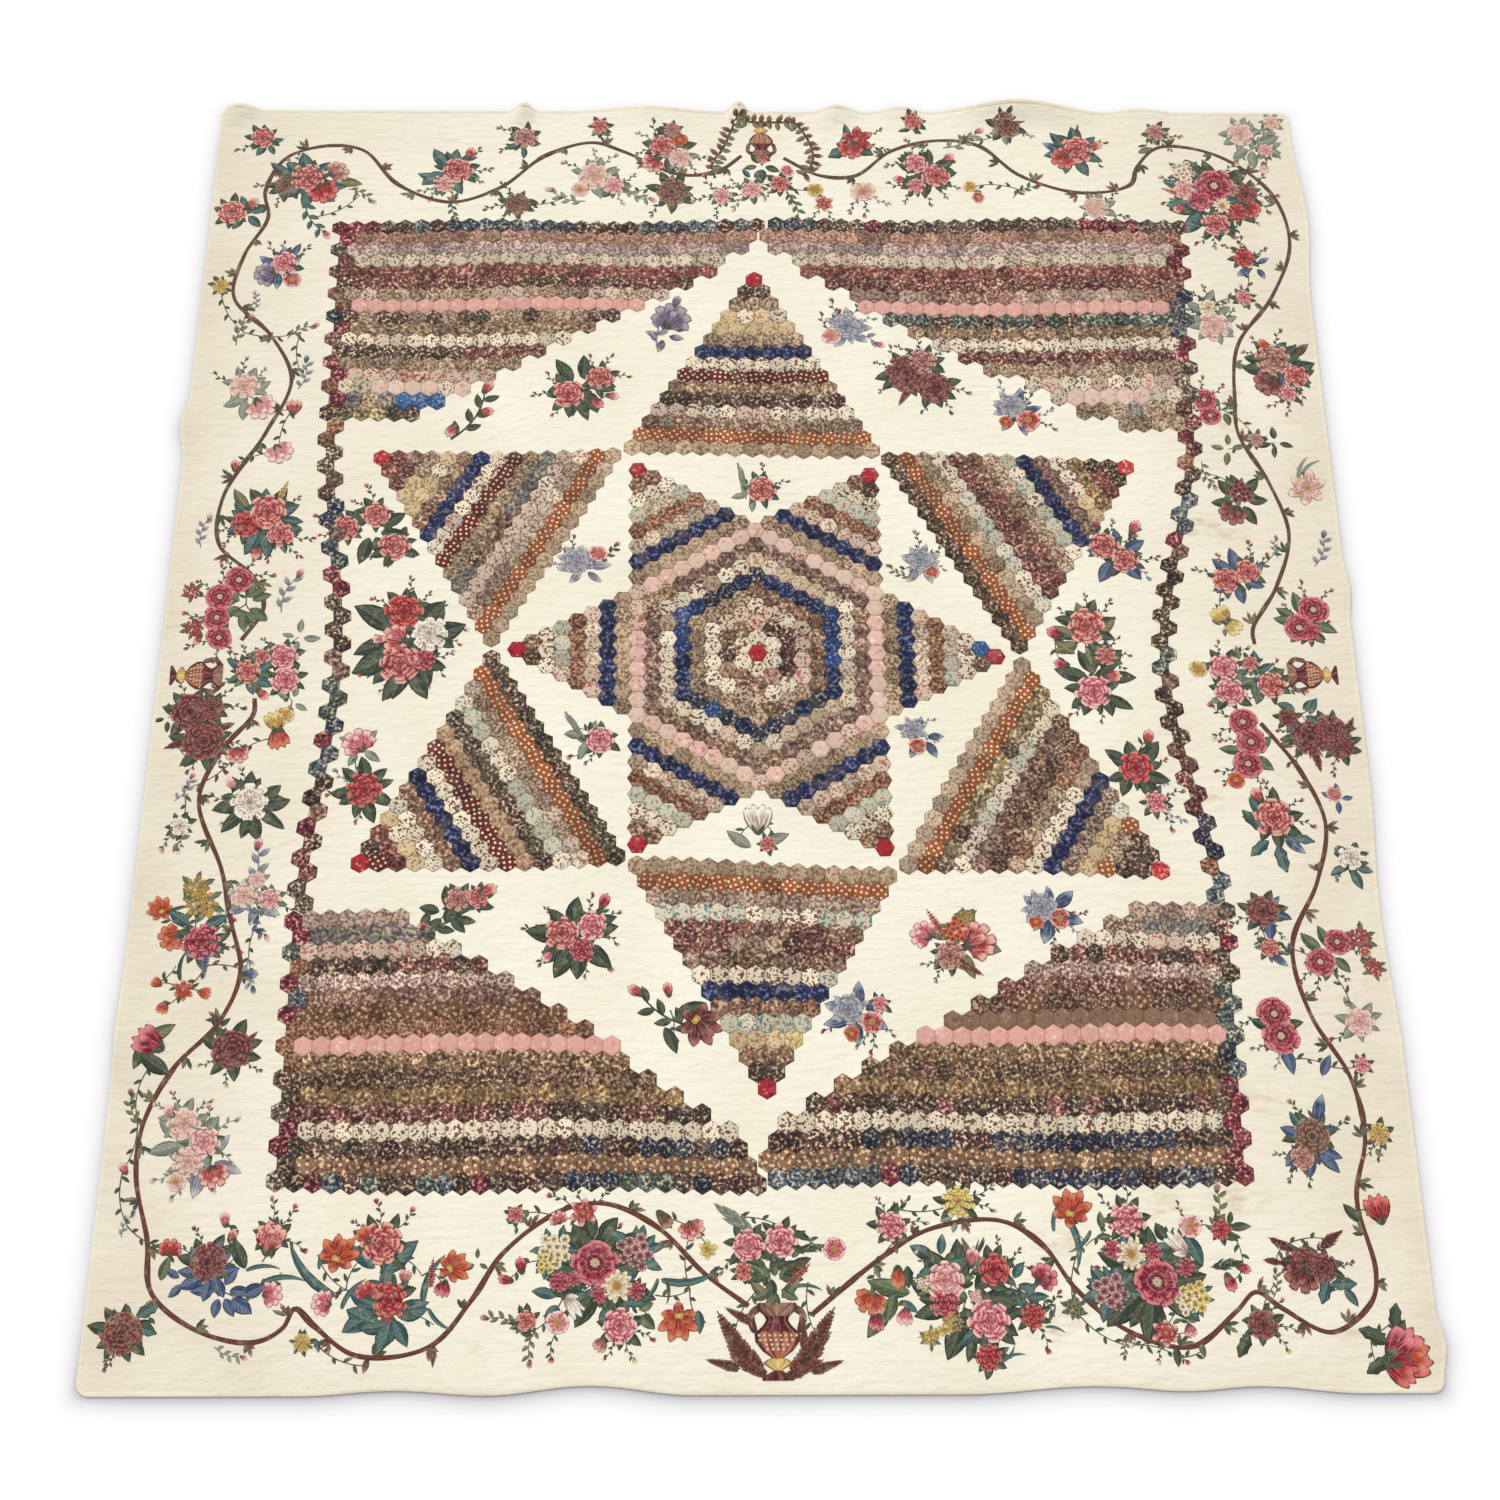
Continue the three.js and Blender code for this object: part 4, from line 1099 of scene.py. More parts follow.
class Bouquet(Pieces):
    """Blades, discs and stems of one applique, laid in thin layers. Sizes are in mm."""

    def __init__(self, seed):
        super().__init__()
        self.random = random.Random(seed)

    def shape(self, name, material):
        """Keeps the flat bouquet inside the cover's rim, lays it over the edge waves and makes its mesh."""
        points = np.concatenate(self.points)
        for inside, _, inward in beside_edges(points[:, 0], points[:, 1]):
            points[:, :2] += np.maximum(0, RIM_ROOM - inside)[:, None] * inward
        points[:, 2] += edge_lift(points[:, 0], points[:, 1])
        self.points = [points]
        return super().shape(name, material)

    def lay(self, points, height, faces, inks, along, across, mark):
        """Adds points over the swell, with their inks and their place in the print."""
        z = APPLIQUE_LOW + height + swell(points[:, 0], points[:, 1])
        tint, light, ink = inks
        blade = np.column_stack(np.broadcast_arrays(along, across, mark))
        self.add(np.column_stack([points, z]), faces, tint=tint, light=light, ink=ink, blade=blade)

    def blade(self, at, turn, length, width, colour, layer, shape="leaf", bend=0.0, tone=0.0):
        """One petal or leaf from its base at a point, in the direction turn, curving by bend degrees."""
        lobes = BLADES[shape][2]
        size = "fine" if length > LONG_BLADE or lobes else "plain" if length > SHORT_BLADE else "small"
        rows, columns = BLADE_POINTS[size]
        along = (1 - np.cos(np.linspace(0, math.pi, rows))) / 2
        across = np.linspace(-1, 1, columns)
        middle, side = curve(turn, bend, length, along)
        points = ribbon(at + middle, side, blade_width(shape, along) * width / 2, across)
        puff = min(PUFF, width * 0.06) * (1 - across ** 4)
        ends = np.clip(np.minimum(along, 1 - along) * 8, 0, 1)
        height = np.outer(ends, puff).ravel() + layer * LAYER_STEP
        mark = self.random.uniform(*(LEAF_MARKS if colour in VEINED else PETAL_MARKS))
        tint, light, ink = inks_of(colour, tone, tone / 2)
        inks = (tint * self.random.uniform(*BLADE_SHADES), light, ink)
        self.lay(points, height, strip_faces(columns, rows), inks, np.repeat(along, columns),
                 np.tile(across, rows), mark)

    def disc(self, at, radius, colour, layer, tone=0.0):
        """A small round: a flower's eye, a berry or a floret."""
        count = 10 if radius > 2.5 else 7
        angles = np.arange(count) * math.tau / count
        ring = np.column_stack([np.cos(angles), np.sin(angles)])
        points = np.concatenate([[at], at + ring * radius * 0.7, at + ring * radius])
        height = layer * LAYER_STEP + np.repeat(DISC_RISES, [1, count, count])
        faces = []
        for i in range(count):
            after = (i + 1) % count
            faces.append([0, 1 + i, 1 + after])
            faces.append([1 + i, 1 + count + i, 1 + count + after, 1 + after])
        across = np.repeat([0.2, 0.4, 0.8], [1, count, count])
        self.lay(points, height, faces, inks_of(colour, tone), 0.6, across, 0.2)

    def stem(self, start, end, width, colour, layer, bow):
        """A thin stalk between two points, bowed sideways by a share of its length."""
        along = np.linspace(0, 1, STEM_ROWS)
        middle = bowed(start, end, bow, along)
        half = width / 2 * (1 - STEM_TAPER * along)
        points = ribbon(middle, right_of(np.gradient(middle, axis=0)), half, np.array([-1, 0, 1]))
        height = np.tile([0, 0.35, 0], STEM_ROWS) + layer * LAYER_STEP
        across = np.tile([-0.8, 0.3, 0.8], STEM_ROWS)
        self.lay(points, height, strip_faces(3, STEM_ROWS), inks_of(colour), 0.6, across, 0.2)


# Open flowers, ring by ring: petals, start, length and width as shares of the radius, then how deep the tone
OPEN_FLOWERS = {
    "rose": {"rings": [(8, 0.44, 0.56, 0.5, 0.0), (7, 0.24, 0.54, 0.46, 0.1), (5, 0.1, 0.44, 0.42, 0.25),
                       (4, 0.0, 0.3, 0.3, 0.5)], "shape": "petal", "eye": None},
    "peony": {"rings": [(10, 0.46, 0.54, 0.42, 0.05), (8, 0.3, 0.48, 0.4, 0.0), (6, 0.14, 0.42, 0.38, 0.2),
                        (5, 0.0, 0.32, 0.3, 0.4)], "shape": "frill", "eye": None},
    "aster": {"rings": [(12, 0.26, 0.74, 0.32, 0.0), (10, 0.16, 0.52, 0.26, 0.1)], "shape": "point",
              "eye": (0.28, "gold")},
    "wild_rose": {"rings": [(6, 0.16, 0.84, 0.8, 0.0)], "shape": "petal", "eye": (0.3, "gold")},
    "eye": {"rings": [(9, 0.4, 0.6, 0.56, 0.1), (9, 0.3, 0.5, 0.44, 0.3), (8, 0.12, 0.34, 0.3, 0.7)],
            "shape": "petal", "eye": (0.2, "cream")},
    "star_lily": {"rings": [(6, 0.06, 0.94, 0.46, 0.0), (5, 0.04, 0.52, 0.34, 0.35)], "shape": "point",
                  "eye": (0.14, "gold")},
    "dahlia": {"rings": [(16, 0.62, 0.38, 0.28, 0.0), (13, 0.42, 0.38, 0.28, 0.1), (9, 0.2, 0.36, 0.28, 0.2),
                         (6, 0.0, 0.3, 0.26, 0.4)], "shape": "petal", "eye": None},
}
# Flowers seen from the side: angle, length, width, tone of each petal, as shares of their height
SIDE_FLOWERS = {
    "tulip": [(-24, 0.95, 0.42, 0.1), (24, 0.95, 0.42, 0.1), (-9, 1.0, 0.36, 0.25), (10, 1.0, 0.36, 0.0),
              (0, 0.86, 0.42, 0.0)],
    "bud": [(-12, 0.9, 0.4, 0.2), (12, 0.9, 0.4, 0.0), (0, 1.0, 0.36, 0.0)],
    "carnation": [(-62, 0.72, 0.46, 0.1), (62, 0.72, 0.46, 0.1), (-38, 0.9, 0.46, 0.0), (38, 0.9, 0.46, 0.0),
                  (-14, 1.0, 0.46, 0.15), (14, 1.0, 0.46, 0.15), (0, 0.74, 0.48, 0.0)],
    "iris": [(-98, 0.5, 0.3, 0.1), (98, 0.5, 0.3, 0.1), (-52, 0.66, 0.34, 0.0), (56, 0.7, 0.34, 0.0),
             (-16, 0.72, 0.32, 0.15), (20, 0.76, 0.32, 0.0), (3, 0.6, 0.34, 0.0), (176, 0.4, 0.3, 0.2)],
    "trumpet": [(-16, 1.0, 0.34, 0.0), (16, 1.0, 0.34, 0.0), (0, 1.05, 0.4, 0.0), (-50, 0.5, 0.3, 0.1)],
}
# Plumes, ferns and spikes: pairs of blades, spread, length and width as shares of the height, blade, curl
SPIKES = {
    "plume": (15, 78, 0.2, 0.13, "frill", 55), "fern": (8, 38, 0.42, 0.08, "leaf", 18),
    "spike": (10, 58, 0.17, 0.14, "petal", 18), "grass": (4, 22, 0.7, 0.08, "strap", 18),
}
# Rounds of florets: how many, the size of one as a share of the round's, the leaves behind them
CLUSTERS = {"cluster": (16, 0.13, "green"), "berries": (24, 0.09, "green"), "heads": (11, 0.16, "teal")}
GOLDEN_TURN = 137.5
# Single leaves: blade, width as a share of the length, bend
LEAVES = {"leaf": ("leaf", 0.42, 12), "big_leaf": ("leaf", 0.62, 8), "strap": ("strap", 0.13, 55),
          "hook": ("strap", 0.13, -60), "toothed": ("toothed", 0.6, 0)}
LEAFED = ("rose", "peony", "dahlia")
LEAFED_FROM = 30
CUPPED = ("tulip", "bud", "carnation")


def open_flower(bouquet, kind, colour, at, size, turn):
    """Rings of petals round a middle, seen from the front."""
    radius = size / 2
    flower = OPEN_FLOWERS[kind]
    chance = bouquet.random
    if kind in LEAFED and size > LEAFED_FROM:
        leaf_ring(bouquet, FOLIAGE.get(colour, "dark_green"), at, size * 0.8, 7, turn + 20)
    if kind != "star_lily":
        bouquet.disc(at, radius * 0.72, colour, 2.4, 0.6)
    for number, (count, start, length, width, tone) in enumerate(flower["rings"]):
        for i in range(count):
            way = turn + 360 * (i + 0.5 * (number % 2)) / count + chance.uniform(-7, 7)
            base = at + heading(way) * start * radius * chance.uniform(0.88, 1.04)
            long = length * radius * chance.uniform(0.86, 1.1)
            layer = 3 + number * 1.4 + 0.5 * (i % 2)
            bouquet.blade(base, way, long, width * radius * 1.25, colour, layer, flower["shape"], tone=tone)
    if flower["eye"]:
        share, eye_colour = flower["eye"]
        bouquet.disc(at, share * radius, eye_colour, 8)
        bouquet.disc(at, share * radius * 0.45, eye_colour, 9, 0.5)


def side_flower(bouquet, kind, colour, at, size, turn):
    """A flower seen from the side: petals that spread from its base."""
    ahead = heading(turn) * size
    base = at if kind == "iris" else at - ahead * 0.45
    shape = {"carnation": "frill", "trumpet": "strap"}.get(kind, "point")
    for number, (angle, length, width, tone) in enumerate(SIDE_FLOWERS[kind]):
        bouquet.blade(base, turn + angle, length * size, width * size, colour, 3 + number * 0.7, shape,
                      tone=tone)
    if kind in CUPPED:
        for angle in (-30, 30):
            bouquet.blade(base - ahead * 0.06, turn + angle, size * 0.42, size * 0.16, "dark_green", 7)
    if kind == "iris":
        bouquet.disc(at, size * 0.12, "yellow", 9)


def spike(bouquet, kind, colour, at, size, turn):
    """A plume, fern or flower spike: paired blades that shorten towards the tip."""
    pairs, spread, length, width, shape, curl = SPIKES[kind]
    ahead = heading(turn) * size
    foot = at - ahead / 2
    stem_colour = "bark" if kind == "plume" else colour
    bouquet.stem(foot, at + ahead * 0.45, max(1.6, size * 0.03), stem_colour, 2, 0)
    for i in range(pairs):
        share = i / pairs
        base = foot + ahead * (0.06 + 0.86 * share)
        shrink = (1 - share) ** 0.7 * min(1, 0.55 + share * 2.2)
        for side in (-1, 1):
            way = turn + side * (spread - 20 * share) + bouquet.random.uniform(-7, 7)
            bouquet.blade(base, way, size * length * shrink, size * width * (0.5 + 0.5 * shrink), colour,
                          3 + 0.3 * (i % 3), shape, -side * curl, 0.6 * (i % 2))


def cluster(bouquet, kind, colour, at, size, turn):
    """Many small florets packed in a round, each a ring of tint with a dark eye, or plain berries."""
    count, share, leaves = CLUSTERS[kind]
    floret = size * share
    leaf_ring(bouquet, leaves, at, size * 0.78, 6, turn, "toothed")
    for i in range(count):
        way = turn + i * GOLDEN_TURN
        spot = at + heading(way) * size * 0.46 * math.sqrt((i + 0.4) / count)
        if kind == "berries":
            radius = floret * bouquet.random.uniform(0.7, 1.1)
            bouquet.disc(spot, radius, colour, 4 + 0.2 * (i % 4), 0.3 * (i % 2))
            continue
        for j in range(6):
            bouquet.blade(spot, way + 60 * j, floret, floret * 0.9, colour, 4 + 0.3 * (i % 3), "petal")
        bouquet.disc(spot, floret * 0.42, colour, 6, 0.85)


def leaf_ring(bouquet, colour, at, reach, count, turn, shape="leaf"):
    """Leaves that radiate from behind a bloom."""
    chance = bouquet.random
    for i in range(count):
        way = turn + 360 * i / count + chance.uniform(-14, 14)
        length = reach * chance.uniform(0.72, 1.0)
        base = at + heading(way) * reach * 0.22
        width = length * chance.uniform(0.34, 0.44)
        bouquet.blade(base, way, length * 0.8, width, colour, i % 3, shape, chance.uniform(-25, 25))


def sprig(bouquet, colour, at, size, turn, leaves, leaf_colour, tip):
    """A thin bowed twig with small leaves on both sides and a bud at its end."""
    ahead = heading(turn) * size
    foot, end = at - ahead / 2, at + ahead / 2
    bow = bouquet.random.choice((-0.12, 0.12))
    bouquet.stem(foot, end, max(1.8, size * 0.035), leaf_colour, 1, bow)
    for i in range(leaves):
        spot = bowed(foot, end, bow, 0.12 + 0.72 * i / (leaves - 1))
        hand = 1 if i % 2 else -1
        bouquet.blade(spot, turn + hand * 52, size * 0.26, size * 0.12, leaf_colour, 1, bend=-hand * 20)
    side_flower(bouquet, tip, colour, end + ahead * 0.06, size * 0.26, turn)


def leaf(bouquet, kind, colour, at, size, turn):
    shape, width, bend = LEAVES[kind]
    bouquet.blade(at - heading(turn) * size / 2, turn, size, size * width, colour, 1, shape, bend)


def stalk(bouquet, at, size, joints):
    """A leafy stalk to a new motif from the nearest one already laid, where they don't touch."""
    near, near_size = min(joints, key=lambda joint: np.linalg.norm(joint[0] - at))
    length = np.linalg.norm(near - at)
    if not (size + near_size) * 0.3 < length < LONGEST_STALK:
        return
    chance = bouquet.random
    bow = chance.choice((-0.1, 0.1))
    bouquet.stem(near, at, STALK_WIDTH, "bark" if chance.random() < BARK_CHANCE else "green", 0, bow)
    turn = turn_of(at - near)
    for i in range(int(length / STALK_LEAF_STEP)):
        spot = bowed(near, at, bow, (i + 0.7) * STALK_LEAF_STEP / length)
        hand = 1 if i % 2 else -1
        bouquet.blade(spot, turn + hand * 55, chance.uniform(12, 20), 7, "dark_green", 0.5, bend=-hand * 20)


def bloom(bouquet, joints, kind, colour, photo_x, photo_y, photo_size, turn=0):
    """Draws one motif at a place of the photograph; its size is in pixels there too."""
    at = on_quilt(photo_x, photo_y)
    size = photo_size * photo_scale(photo_x, photo_y) * (FULLER if kind in OPEN_FLOWERS else 1)
    if joints:
        stalk(bouquet, at, size, joints)
    joints.append((at, size))
    for kinds, draw in ((OPEN_FLOWERS, open_flower), (SIDE_FLOWERS, side_flower), (SPIKES, spike),
                        (CLUSTERS, cluster), (LEAVES, leaf)):
        if kind in kinds:
            draw(bouquet, kind, colour, at, size, turn)
            return
    if kind.startswith("leaves"):
        leaf_ring(bouquet, colour, at, size, int(kind[6:]), turn)
    elif kind == "maple":
        leaf_ring(bouquet, colour, at, size, 5, turn, "toothed")
    elif kind.startswith("sprig"):
        sprig(bouquet, kind[5:], at, size, turn, 6, colour, "bud")
    else:
        raise ValueError(kind)


# What each spray holds: kind, colour, photo x, photo y, size in photo pixels, turn in degrees if any.
# A leaf ring's size is the reach of its leaves, and the number in its name counts them.
# A sprig's name ends in the colour of its bud
SPRAYS = {
    "spray_foot_iris": """
        leaves6 teal 386 1312 48 10, strap teal 300 1282 78 -68, strap teal 318 1255 30 -8,
        strap teal 346 1290 40 10, leaf teal 362 1258 34 -52, leaf teal 398 1256 50 40,
        leaf teal 384 1278 26, strap teal 422 1276 56 -4, hook teal 434 1325 36 160,
        leaf teal 400 1288 22 40, big_leaf teal 362 1318 36 -70, big_leaf teal 372 1328 26 -100,
        big_leaf teal 388 1332 34 190, big_leaf teal 412 1311 32 75, rose coral 382 1244 40 10,
        tulip orange 365 1236 20 -40, iris orange 336 1259 36 20, peony red 389 1300 34,
        carnation red 366 1291 18 -20, berries coral 387 1318 13, carnation pink 322 1303 20 -80,
        iris orange 450 1269 30 60, spike crimson 432 1272 32 4, tulip crimson 443 1288 18 200,
        tulip coral 405 1277 14 10""",
    "spray_foot_bouquet_left": """
        leaves9 dark_green 600 1274 66 5, leaves7 dark_green 595 1250 46 -10, leaves6 teal 636 1252 34 20,
        leaves5 teal 615 1300 34 10, leaves5 teal 562 1300 32, big_leaf green 646 1306 16 60,
        big_leaf green 648 1322 20 130, strap teal 655 1295 34 190, hook teal 690 1290 62 110,
        strap dark_green 672 1290 28 150, leaf teal 700 1322 24 170, leaf dark_green 527 1334 14 100,
        eye crimson 595 1263 44, heads mauve 636 1252 36, heads cream 556 1250 34 20,
        heads yellow 548 1262 24 60, aster cream 617 1286 31, peony crimson 560 1282 19,
        peony crimson 574 1279 14, peony crimson 599 1294 17, peony crimson 636 1291 17,
        trumpet white 573 1306 26 140, rose pink 620 1326 32, wild_rose pale_pink 558 1323 22,
        rose coral 526 1321 20, star_lily coral 583 1213 26 10, carnation coral 558 1218 14 -20,
        iris orange 679 1316 36 180, rose coral 516 1215 16, leaves3 teal 517 1224 13 180,
        bud crimson 521 1266 18 -10, bud crimson 506 1280 16 -80, tulip brown_pink 601 1344 16 215,
        sprigbrown_pink olive 504 1323 36 -75, sprigbrown_pink olive 533 1345 34 190,
        carnation coral 692 1230 20 160, star_lily yellow 708 1250 18, bud brown 664 1219 22 140""",
    "spray_foot_bouquet_middle": """
        leaves9 dark_green 966 1300 66, leaves5 teal 940 1262 34 -60, leaves4 dark_green 980 1282 30,
        leaves5 teal 1012 1284 28 20, big_leaf teal 982 1266 22 -30, big_leaf teal 1000 1298 24 60,
        leaf teal 1038 1296 22 80, leaf teal 966 1340 34 235, leaf dark_green 972 1350 26 190,
        hook teal 1012 1358 24 70, strap teal 1012 1352 26 50, hook teal 1055 1317 24 60,
        strap teal 1056 1325 22 80, leaf green 888 1289 44 -80, leaf green 892 1308 30 190,
        leaf green 880 1320 44 205, leaf teal 910 1306 20 120, leaf teal 1030 1290 20 30,
        rose pale_pink 945 1280 36, peony crimson 944 1303 28, rose red 994 1270 30,
        rose pink 990 1321 40, peony red 1033 1316 24, peony red 989 1357 25,
        spike yellow 938 1332 48 255, berries gold 954 1322 22, berries gold 930 1338 18,
        bud orange 898 1277 24 180, toothed dark_green 908 1277 22 180, tulip pink 905 1316 18 190,
        carnation crimson 1045 1276 22 50, heads cream 924 1284 16, bud pink 972 1258 22 10,
        heads faded 977 1297 14, fern olive 966 1248 26 -20, grass dark_green 978 1250 30 30""",
    "spray_foot_bouquet_right": """
        leaves9 dark_green 1152 1280 66 25, leaves7 dark_green 1150 1292 46 10, leaves7 teal 1112 1292 34,
        leaves4 teal 1126 1262 28 -90, leaves4 teal 1178 1250 26, leaf teal 1196 1250 34 150,
        big_leaf dark_green 1160 1232 20 -30, leaf green 1100 1220 18 -10, leaf green 1104 1236 16 80,
        strap teal 1086 1246 34 200, eye crimson 1157 1282 44, aster cream 1131 1254 30,
        heads mauve 1112 1292 36, peony crimson 1113 1250 18, peony crimson 1152 1252 18,
        peony crimson 1186 1268 18, peony pink 1127 1220 32, trumpet white 1178 1244 28 320,
        wild_rose pale_pink 1190 1226 21, rose red 1221 1230 19, leaves5 dark_green 1228 1228 18 20,
        heads yellow 1196 1296 30, heads cream 1188 1302 26 40, bud crimson 1243 1268 16 110,
        bud crimson 1230 1282 20 160, fern dark_green 1228 1264 36 80, star_lily coral 1166 1333 26,
        tulip coral 1190 1330 14 170, leaves3 green 1184 1318 14, sprigbrown_pink olive 1215 1210 40 10,
        leaf dark_green 1240 1226 22 80""",
    "spray_foot_plume": """
        fern maroon 1284 1246 34 120, fern maroon 1330 1240 38 55, fern brown_red 1276 1262 26 100,
        rose brown_red 1304 1262 26, dahlia maroon 1322 1268 28, carnation maroon 1302 1278 28 200,
        berries maroon 1290 1264 18, toothed teal 1325 1292 26 200, toothed teal 1344 1284 26 90,
        leaf teal 1352 1297 22 140, leaf teal 1308 1284 22 250""",
    "spray_foot_blue_leaf": """
        leaves8 navy_leaf 210 1272 36, leaves6 navy_leaf 222 1292 34 90,
        leaves4 navy_leaf 184 1280 24 200, big_leaf navy_leaf 242 1306 26 120,
        big_leaf navy_leaf 254 1290 24 60, leaf dark_green 238 1254 34 -30, strap teal 282 1272 46 60,
        strap teal 262 1262 36 60, dahlia brown_red 208 1262 36, tulip coral 270 1240 34 10,
        rose coral 271 1236 26, bud pink 225 1220 16 -10, bud coral 232 1236 14 30,
        carnation pink 272 1294 20 80""",
    "spray_foot_cone": """
        toothed teal 148 1310 26 60, toothed teal 146 1330 24 110, dahlia maroon 122 1334 40,
        dahlia brown 122 1332 34""",
    "spray_foot_red": """
        toothed dark_green 1372 1334 28 -70, toothed dark_green 1395 1316 26 10,
        toothed dark_green 1378 1366 28 240, leaves4 dark_green 1394 1346 30 200,
        tulip crimson 1402 1350 46 48, tulip red 1408 1358 46 82, tulip red 1400 1367 38 120,
        carnation orange 1416 1356 24 80""",
    "spray_head_corner_left": """
        leaves8 teal 309 182 38, leaf teal 280 170 26 -60, leaf olive 350 182 26 90,
        peony coral 308 178 32, carnation red 324 192 24 150, dahlia brown 286 186 22,
        carnation brown_pink 338 172 20 60""",
    "spray_head_rose_left": """
        leaves5 teal 245 213 24, rose coral 232 212 26, bud coral 252 204 16 40""",
    "spray_head_blue_pink": """
        leaves6 blue 280 268 30, leaf navy_leaf 296 250 18 20, rose pink 284 264 26,
        carnation purple_grey 266 274 22 -80, wild_rose coral 292 280 16""",
    "spray_head_teal_coral": """
        leaves7 teal 452 172 34, leaf teal 430 178 26 -80, rose coral 458 170 28,
        peony pale_pink 444 184 20, bud coral 470 154 16 20""",
    "spray_head_faded_pink": """
        leaves6 grey_green 599 179 28, rose faded 594 176 30, rose pale_pink 614 186 20,
        wild_rose faded 580 190 16""",
    "spray_head_posy": """
        leaves6 dark_green 669 150 30, rose coral 662 146 24, rose faded 680 158 22,
        wild_rose orange 680 140 14, dahlia brown_pink 672 130 16, carnation coral 652 164 18 220""",
    "spray_head_red": """
        toothed teal 840 152 28 240, toothed dark_green 862 150 26 120, leaf teal 846 132 18 -20,
        star_lily red 856 140 30, carnation red 850 150 20 200""",
    "spray_head_pink_roses": """
        leaves8 dark_green 927 172 34, rose pink 916 164 22, rose coral 936 176 26, rose pink 916 186 18,
        bud pink 948 158 14 50, bud coral 900 180 14 -80""",
    "spray_head_coral": """
        leaves7 teal 1073 153 34, leaf blue 1052 148 22 -70, rose coral 1076 150 30,
        carnation red 1062 160 20 220, bud coral 1094 146 16 80""",
    "spray_head_bouquet": """
        leaves9 dark_green 1216 196 52, leaves6 teal 1204 206 40 30, leaf teal 1176 186 28 -80,
        eye crimson 1214 186 36, rose crimson 1200 200 24, heads cream 1184 172 24,
        aster cream 1222 206 18, rose pale_pink 1184 190 22, rose brown_red 1246 194 22,
        peony red 1236 212 20, rose coral 1216 224 26, rose brown_pink 1232 190 16,
        bud coral 1180 208 16 -120, spike coral 1172 192 26 -70, carnation red 1252 210 16 120""",
    "spray_left_roses": """
        leaves7 teal 262 520 44, leaf olive 240 500 28 -40, rose coral 268 512 36, rose red 246 524 28,
        rose coral 280 534 26, spike gold 284 490 26 20, bud coral 256 552 16 180, leaf teal 292 520 24 90""",
    "spray_left_crimson": """
        leaves6 green 246 604 34, leaves5 green 224 612 30 30, eye crimson 239 580 27,
        eye crimson 220 597 26, eye crimson 217 618 25, eye crimson 219 638 24, leaf green 256 592 22 60,
        leaf green 258 616 22 110, berries coral 192 592 18, berries coral 194 628 20,
        bud coral 198 640 12 210""",
    "spray_left_plume": """
        dahlia maroon 190 712 36, dahlia brown_red 212 709 24, leaves4 dark_green 168 718 18 -90,
        dahlia brown_red 204 741 40, fern brown_red 178 744 34 -110, leaf dark_green 190 759 26 -140,
        leaf bark 226 726 18 60""",
    "spray_left_peony": """
        leaves9 dark_green 252 806 42, rose white 250 803 38, bud pale_pink 232 784 16 -40,
        leaf dark_green 276 822 24 120""",
    "spray_left_lily": """
        berries gold 197 888 26, berries gold 202 904 34, leaves6 teal 196 930 40,
        peony crimson 202 942 36, iris orange 162 912 24 -40, strap dark_green 174 906 34 40,
        carnation orange 170 938 22 250, leaf dark_green 218 944 22 110, spike blue 205 966 30 180,
        bud blue 250 974 16 90, star_lily orange 183 990 20, tulip orange 157 983 12 -60,
        tulip orange 204 993 14 100, tulip orange 163 1007 14 200, strap dark_green 176 966 34 -20""",
    "spray_left_faded": """
        leaves7 grey_green 190 1142 44, leaves5 faded_blue 206 1160 40 40, rose faded 184 1124 32,
        rose pale_pink 204 1142 30, peony faded 188 1162 30, carnation coral 214 1176 24 160,
        wild_rose faded 176 1182 18, bud pale_pink 170 1112 16 -40""",
    "spray_right_blue_leaf": """
        leaves6 navy_leaf 1312 1145 38, leaf blue 1318 1108 30 10, dahlia brown 1312 1136 34,
        rose brown_pink 1302 1158 22, leaf navy_leaf 1330 1162 28 130, leaf teal 1296 1122 24 -40""",
    "spray_right_peony": """
        maple teal 1276 836 42 20, leaf teal 1256 808 26 -40, rose coral 1274 818 38,
        bud coral 1258 796 18 -30, leaf blue 1296 846 24 120""",
    "spray_right_maroon": """
        dahlia maroon 1310 738 34, dahlia brown_red 1330 730 30, dahlia maroon 1340 746 26,
        fern brown_red 1316 756 40 170, fern brown_red 1348 728 30 30, leaves4 teal 1300 714 26 -60,
        rose maroon 1288 718 18, leaf teal 1312 706 20 20""",
    "spray_right_dark": """
        leaves8 dark_green 1278 370 38, peony brown_pink 1273 360 34, rose coral 1296 376 24,
        carnation brown_red 1268 384 24 220, rose pink 1288 394 18, leaf blue 1284 380 22 160,
        bud orange 1264 346 16 -30, leaf bark 1300 350 22 40""",
    "spray_field_head_left": """
        leaves7 dark_green 580 385 42, rose coral 568 394 30, rose coral 600 378 26,
        bud crimson 596 402 18 130, leaf dark_green 584 410 26 150, bud pink 612 396 14 100""",
    "spray_field_head_right": """
        dahlia brown_red 906 374 38, rose maroon 934 388 32, peony brown_pink 922 362 28,
        plume brown_red 906 394 36 210, spike coral 918 362 40 10, plume brown_red 940 390 40 60,
        fern brown_red 924 360 34 -30""",
    "spray_field_left": """
        leaves8 dark_green 406 640 66, leaves6 dark_green 404 664 50 30, rose red 404 612 36,
        rose white 430 634 36, rose coral 400 664 42, carnation coral 394 638 24 -70,
        peony crimson 424 660 22, bud pink 380 640 16 -80""",
    "spray_field_right": """
        leaves6 olive 1086 640 44, leaves6 dark_green 1098 680 44 30, rose coral 1086 626 36,
        rose pink 1094 692 34, bud crimson 1056 634 20 -60, bud coral 1112 676 20 90,
        bud crimson 1062 664 16 -80, leaf dark_green 1120 702 30 110, leaf olive 1064 648 24 -60,
        peony coral 1106 656 20""",
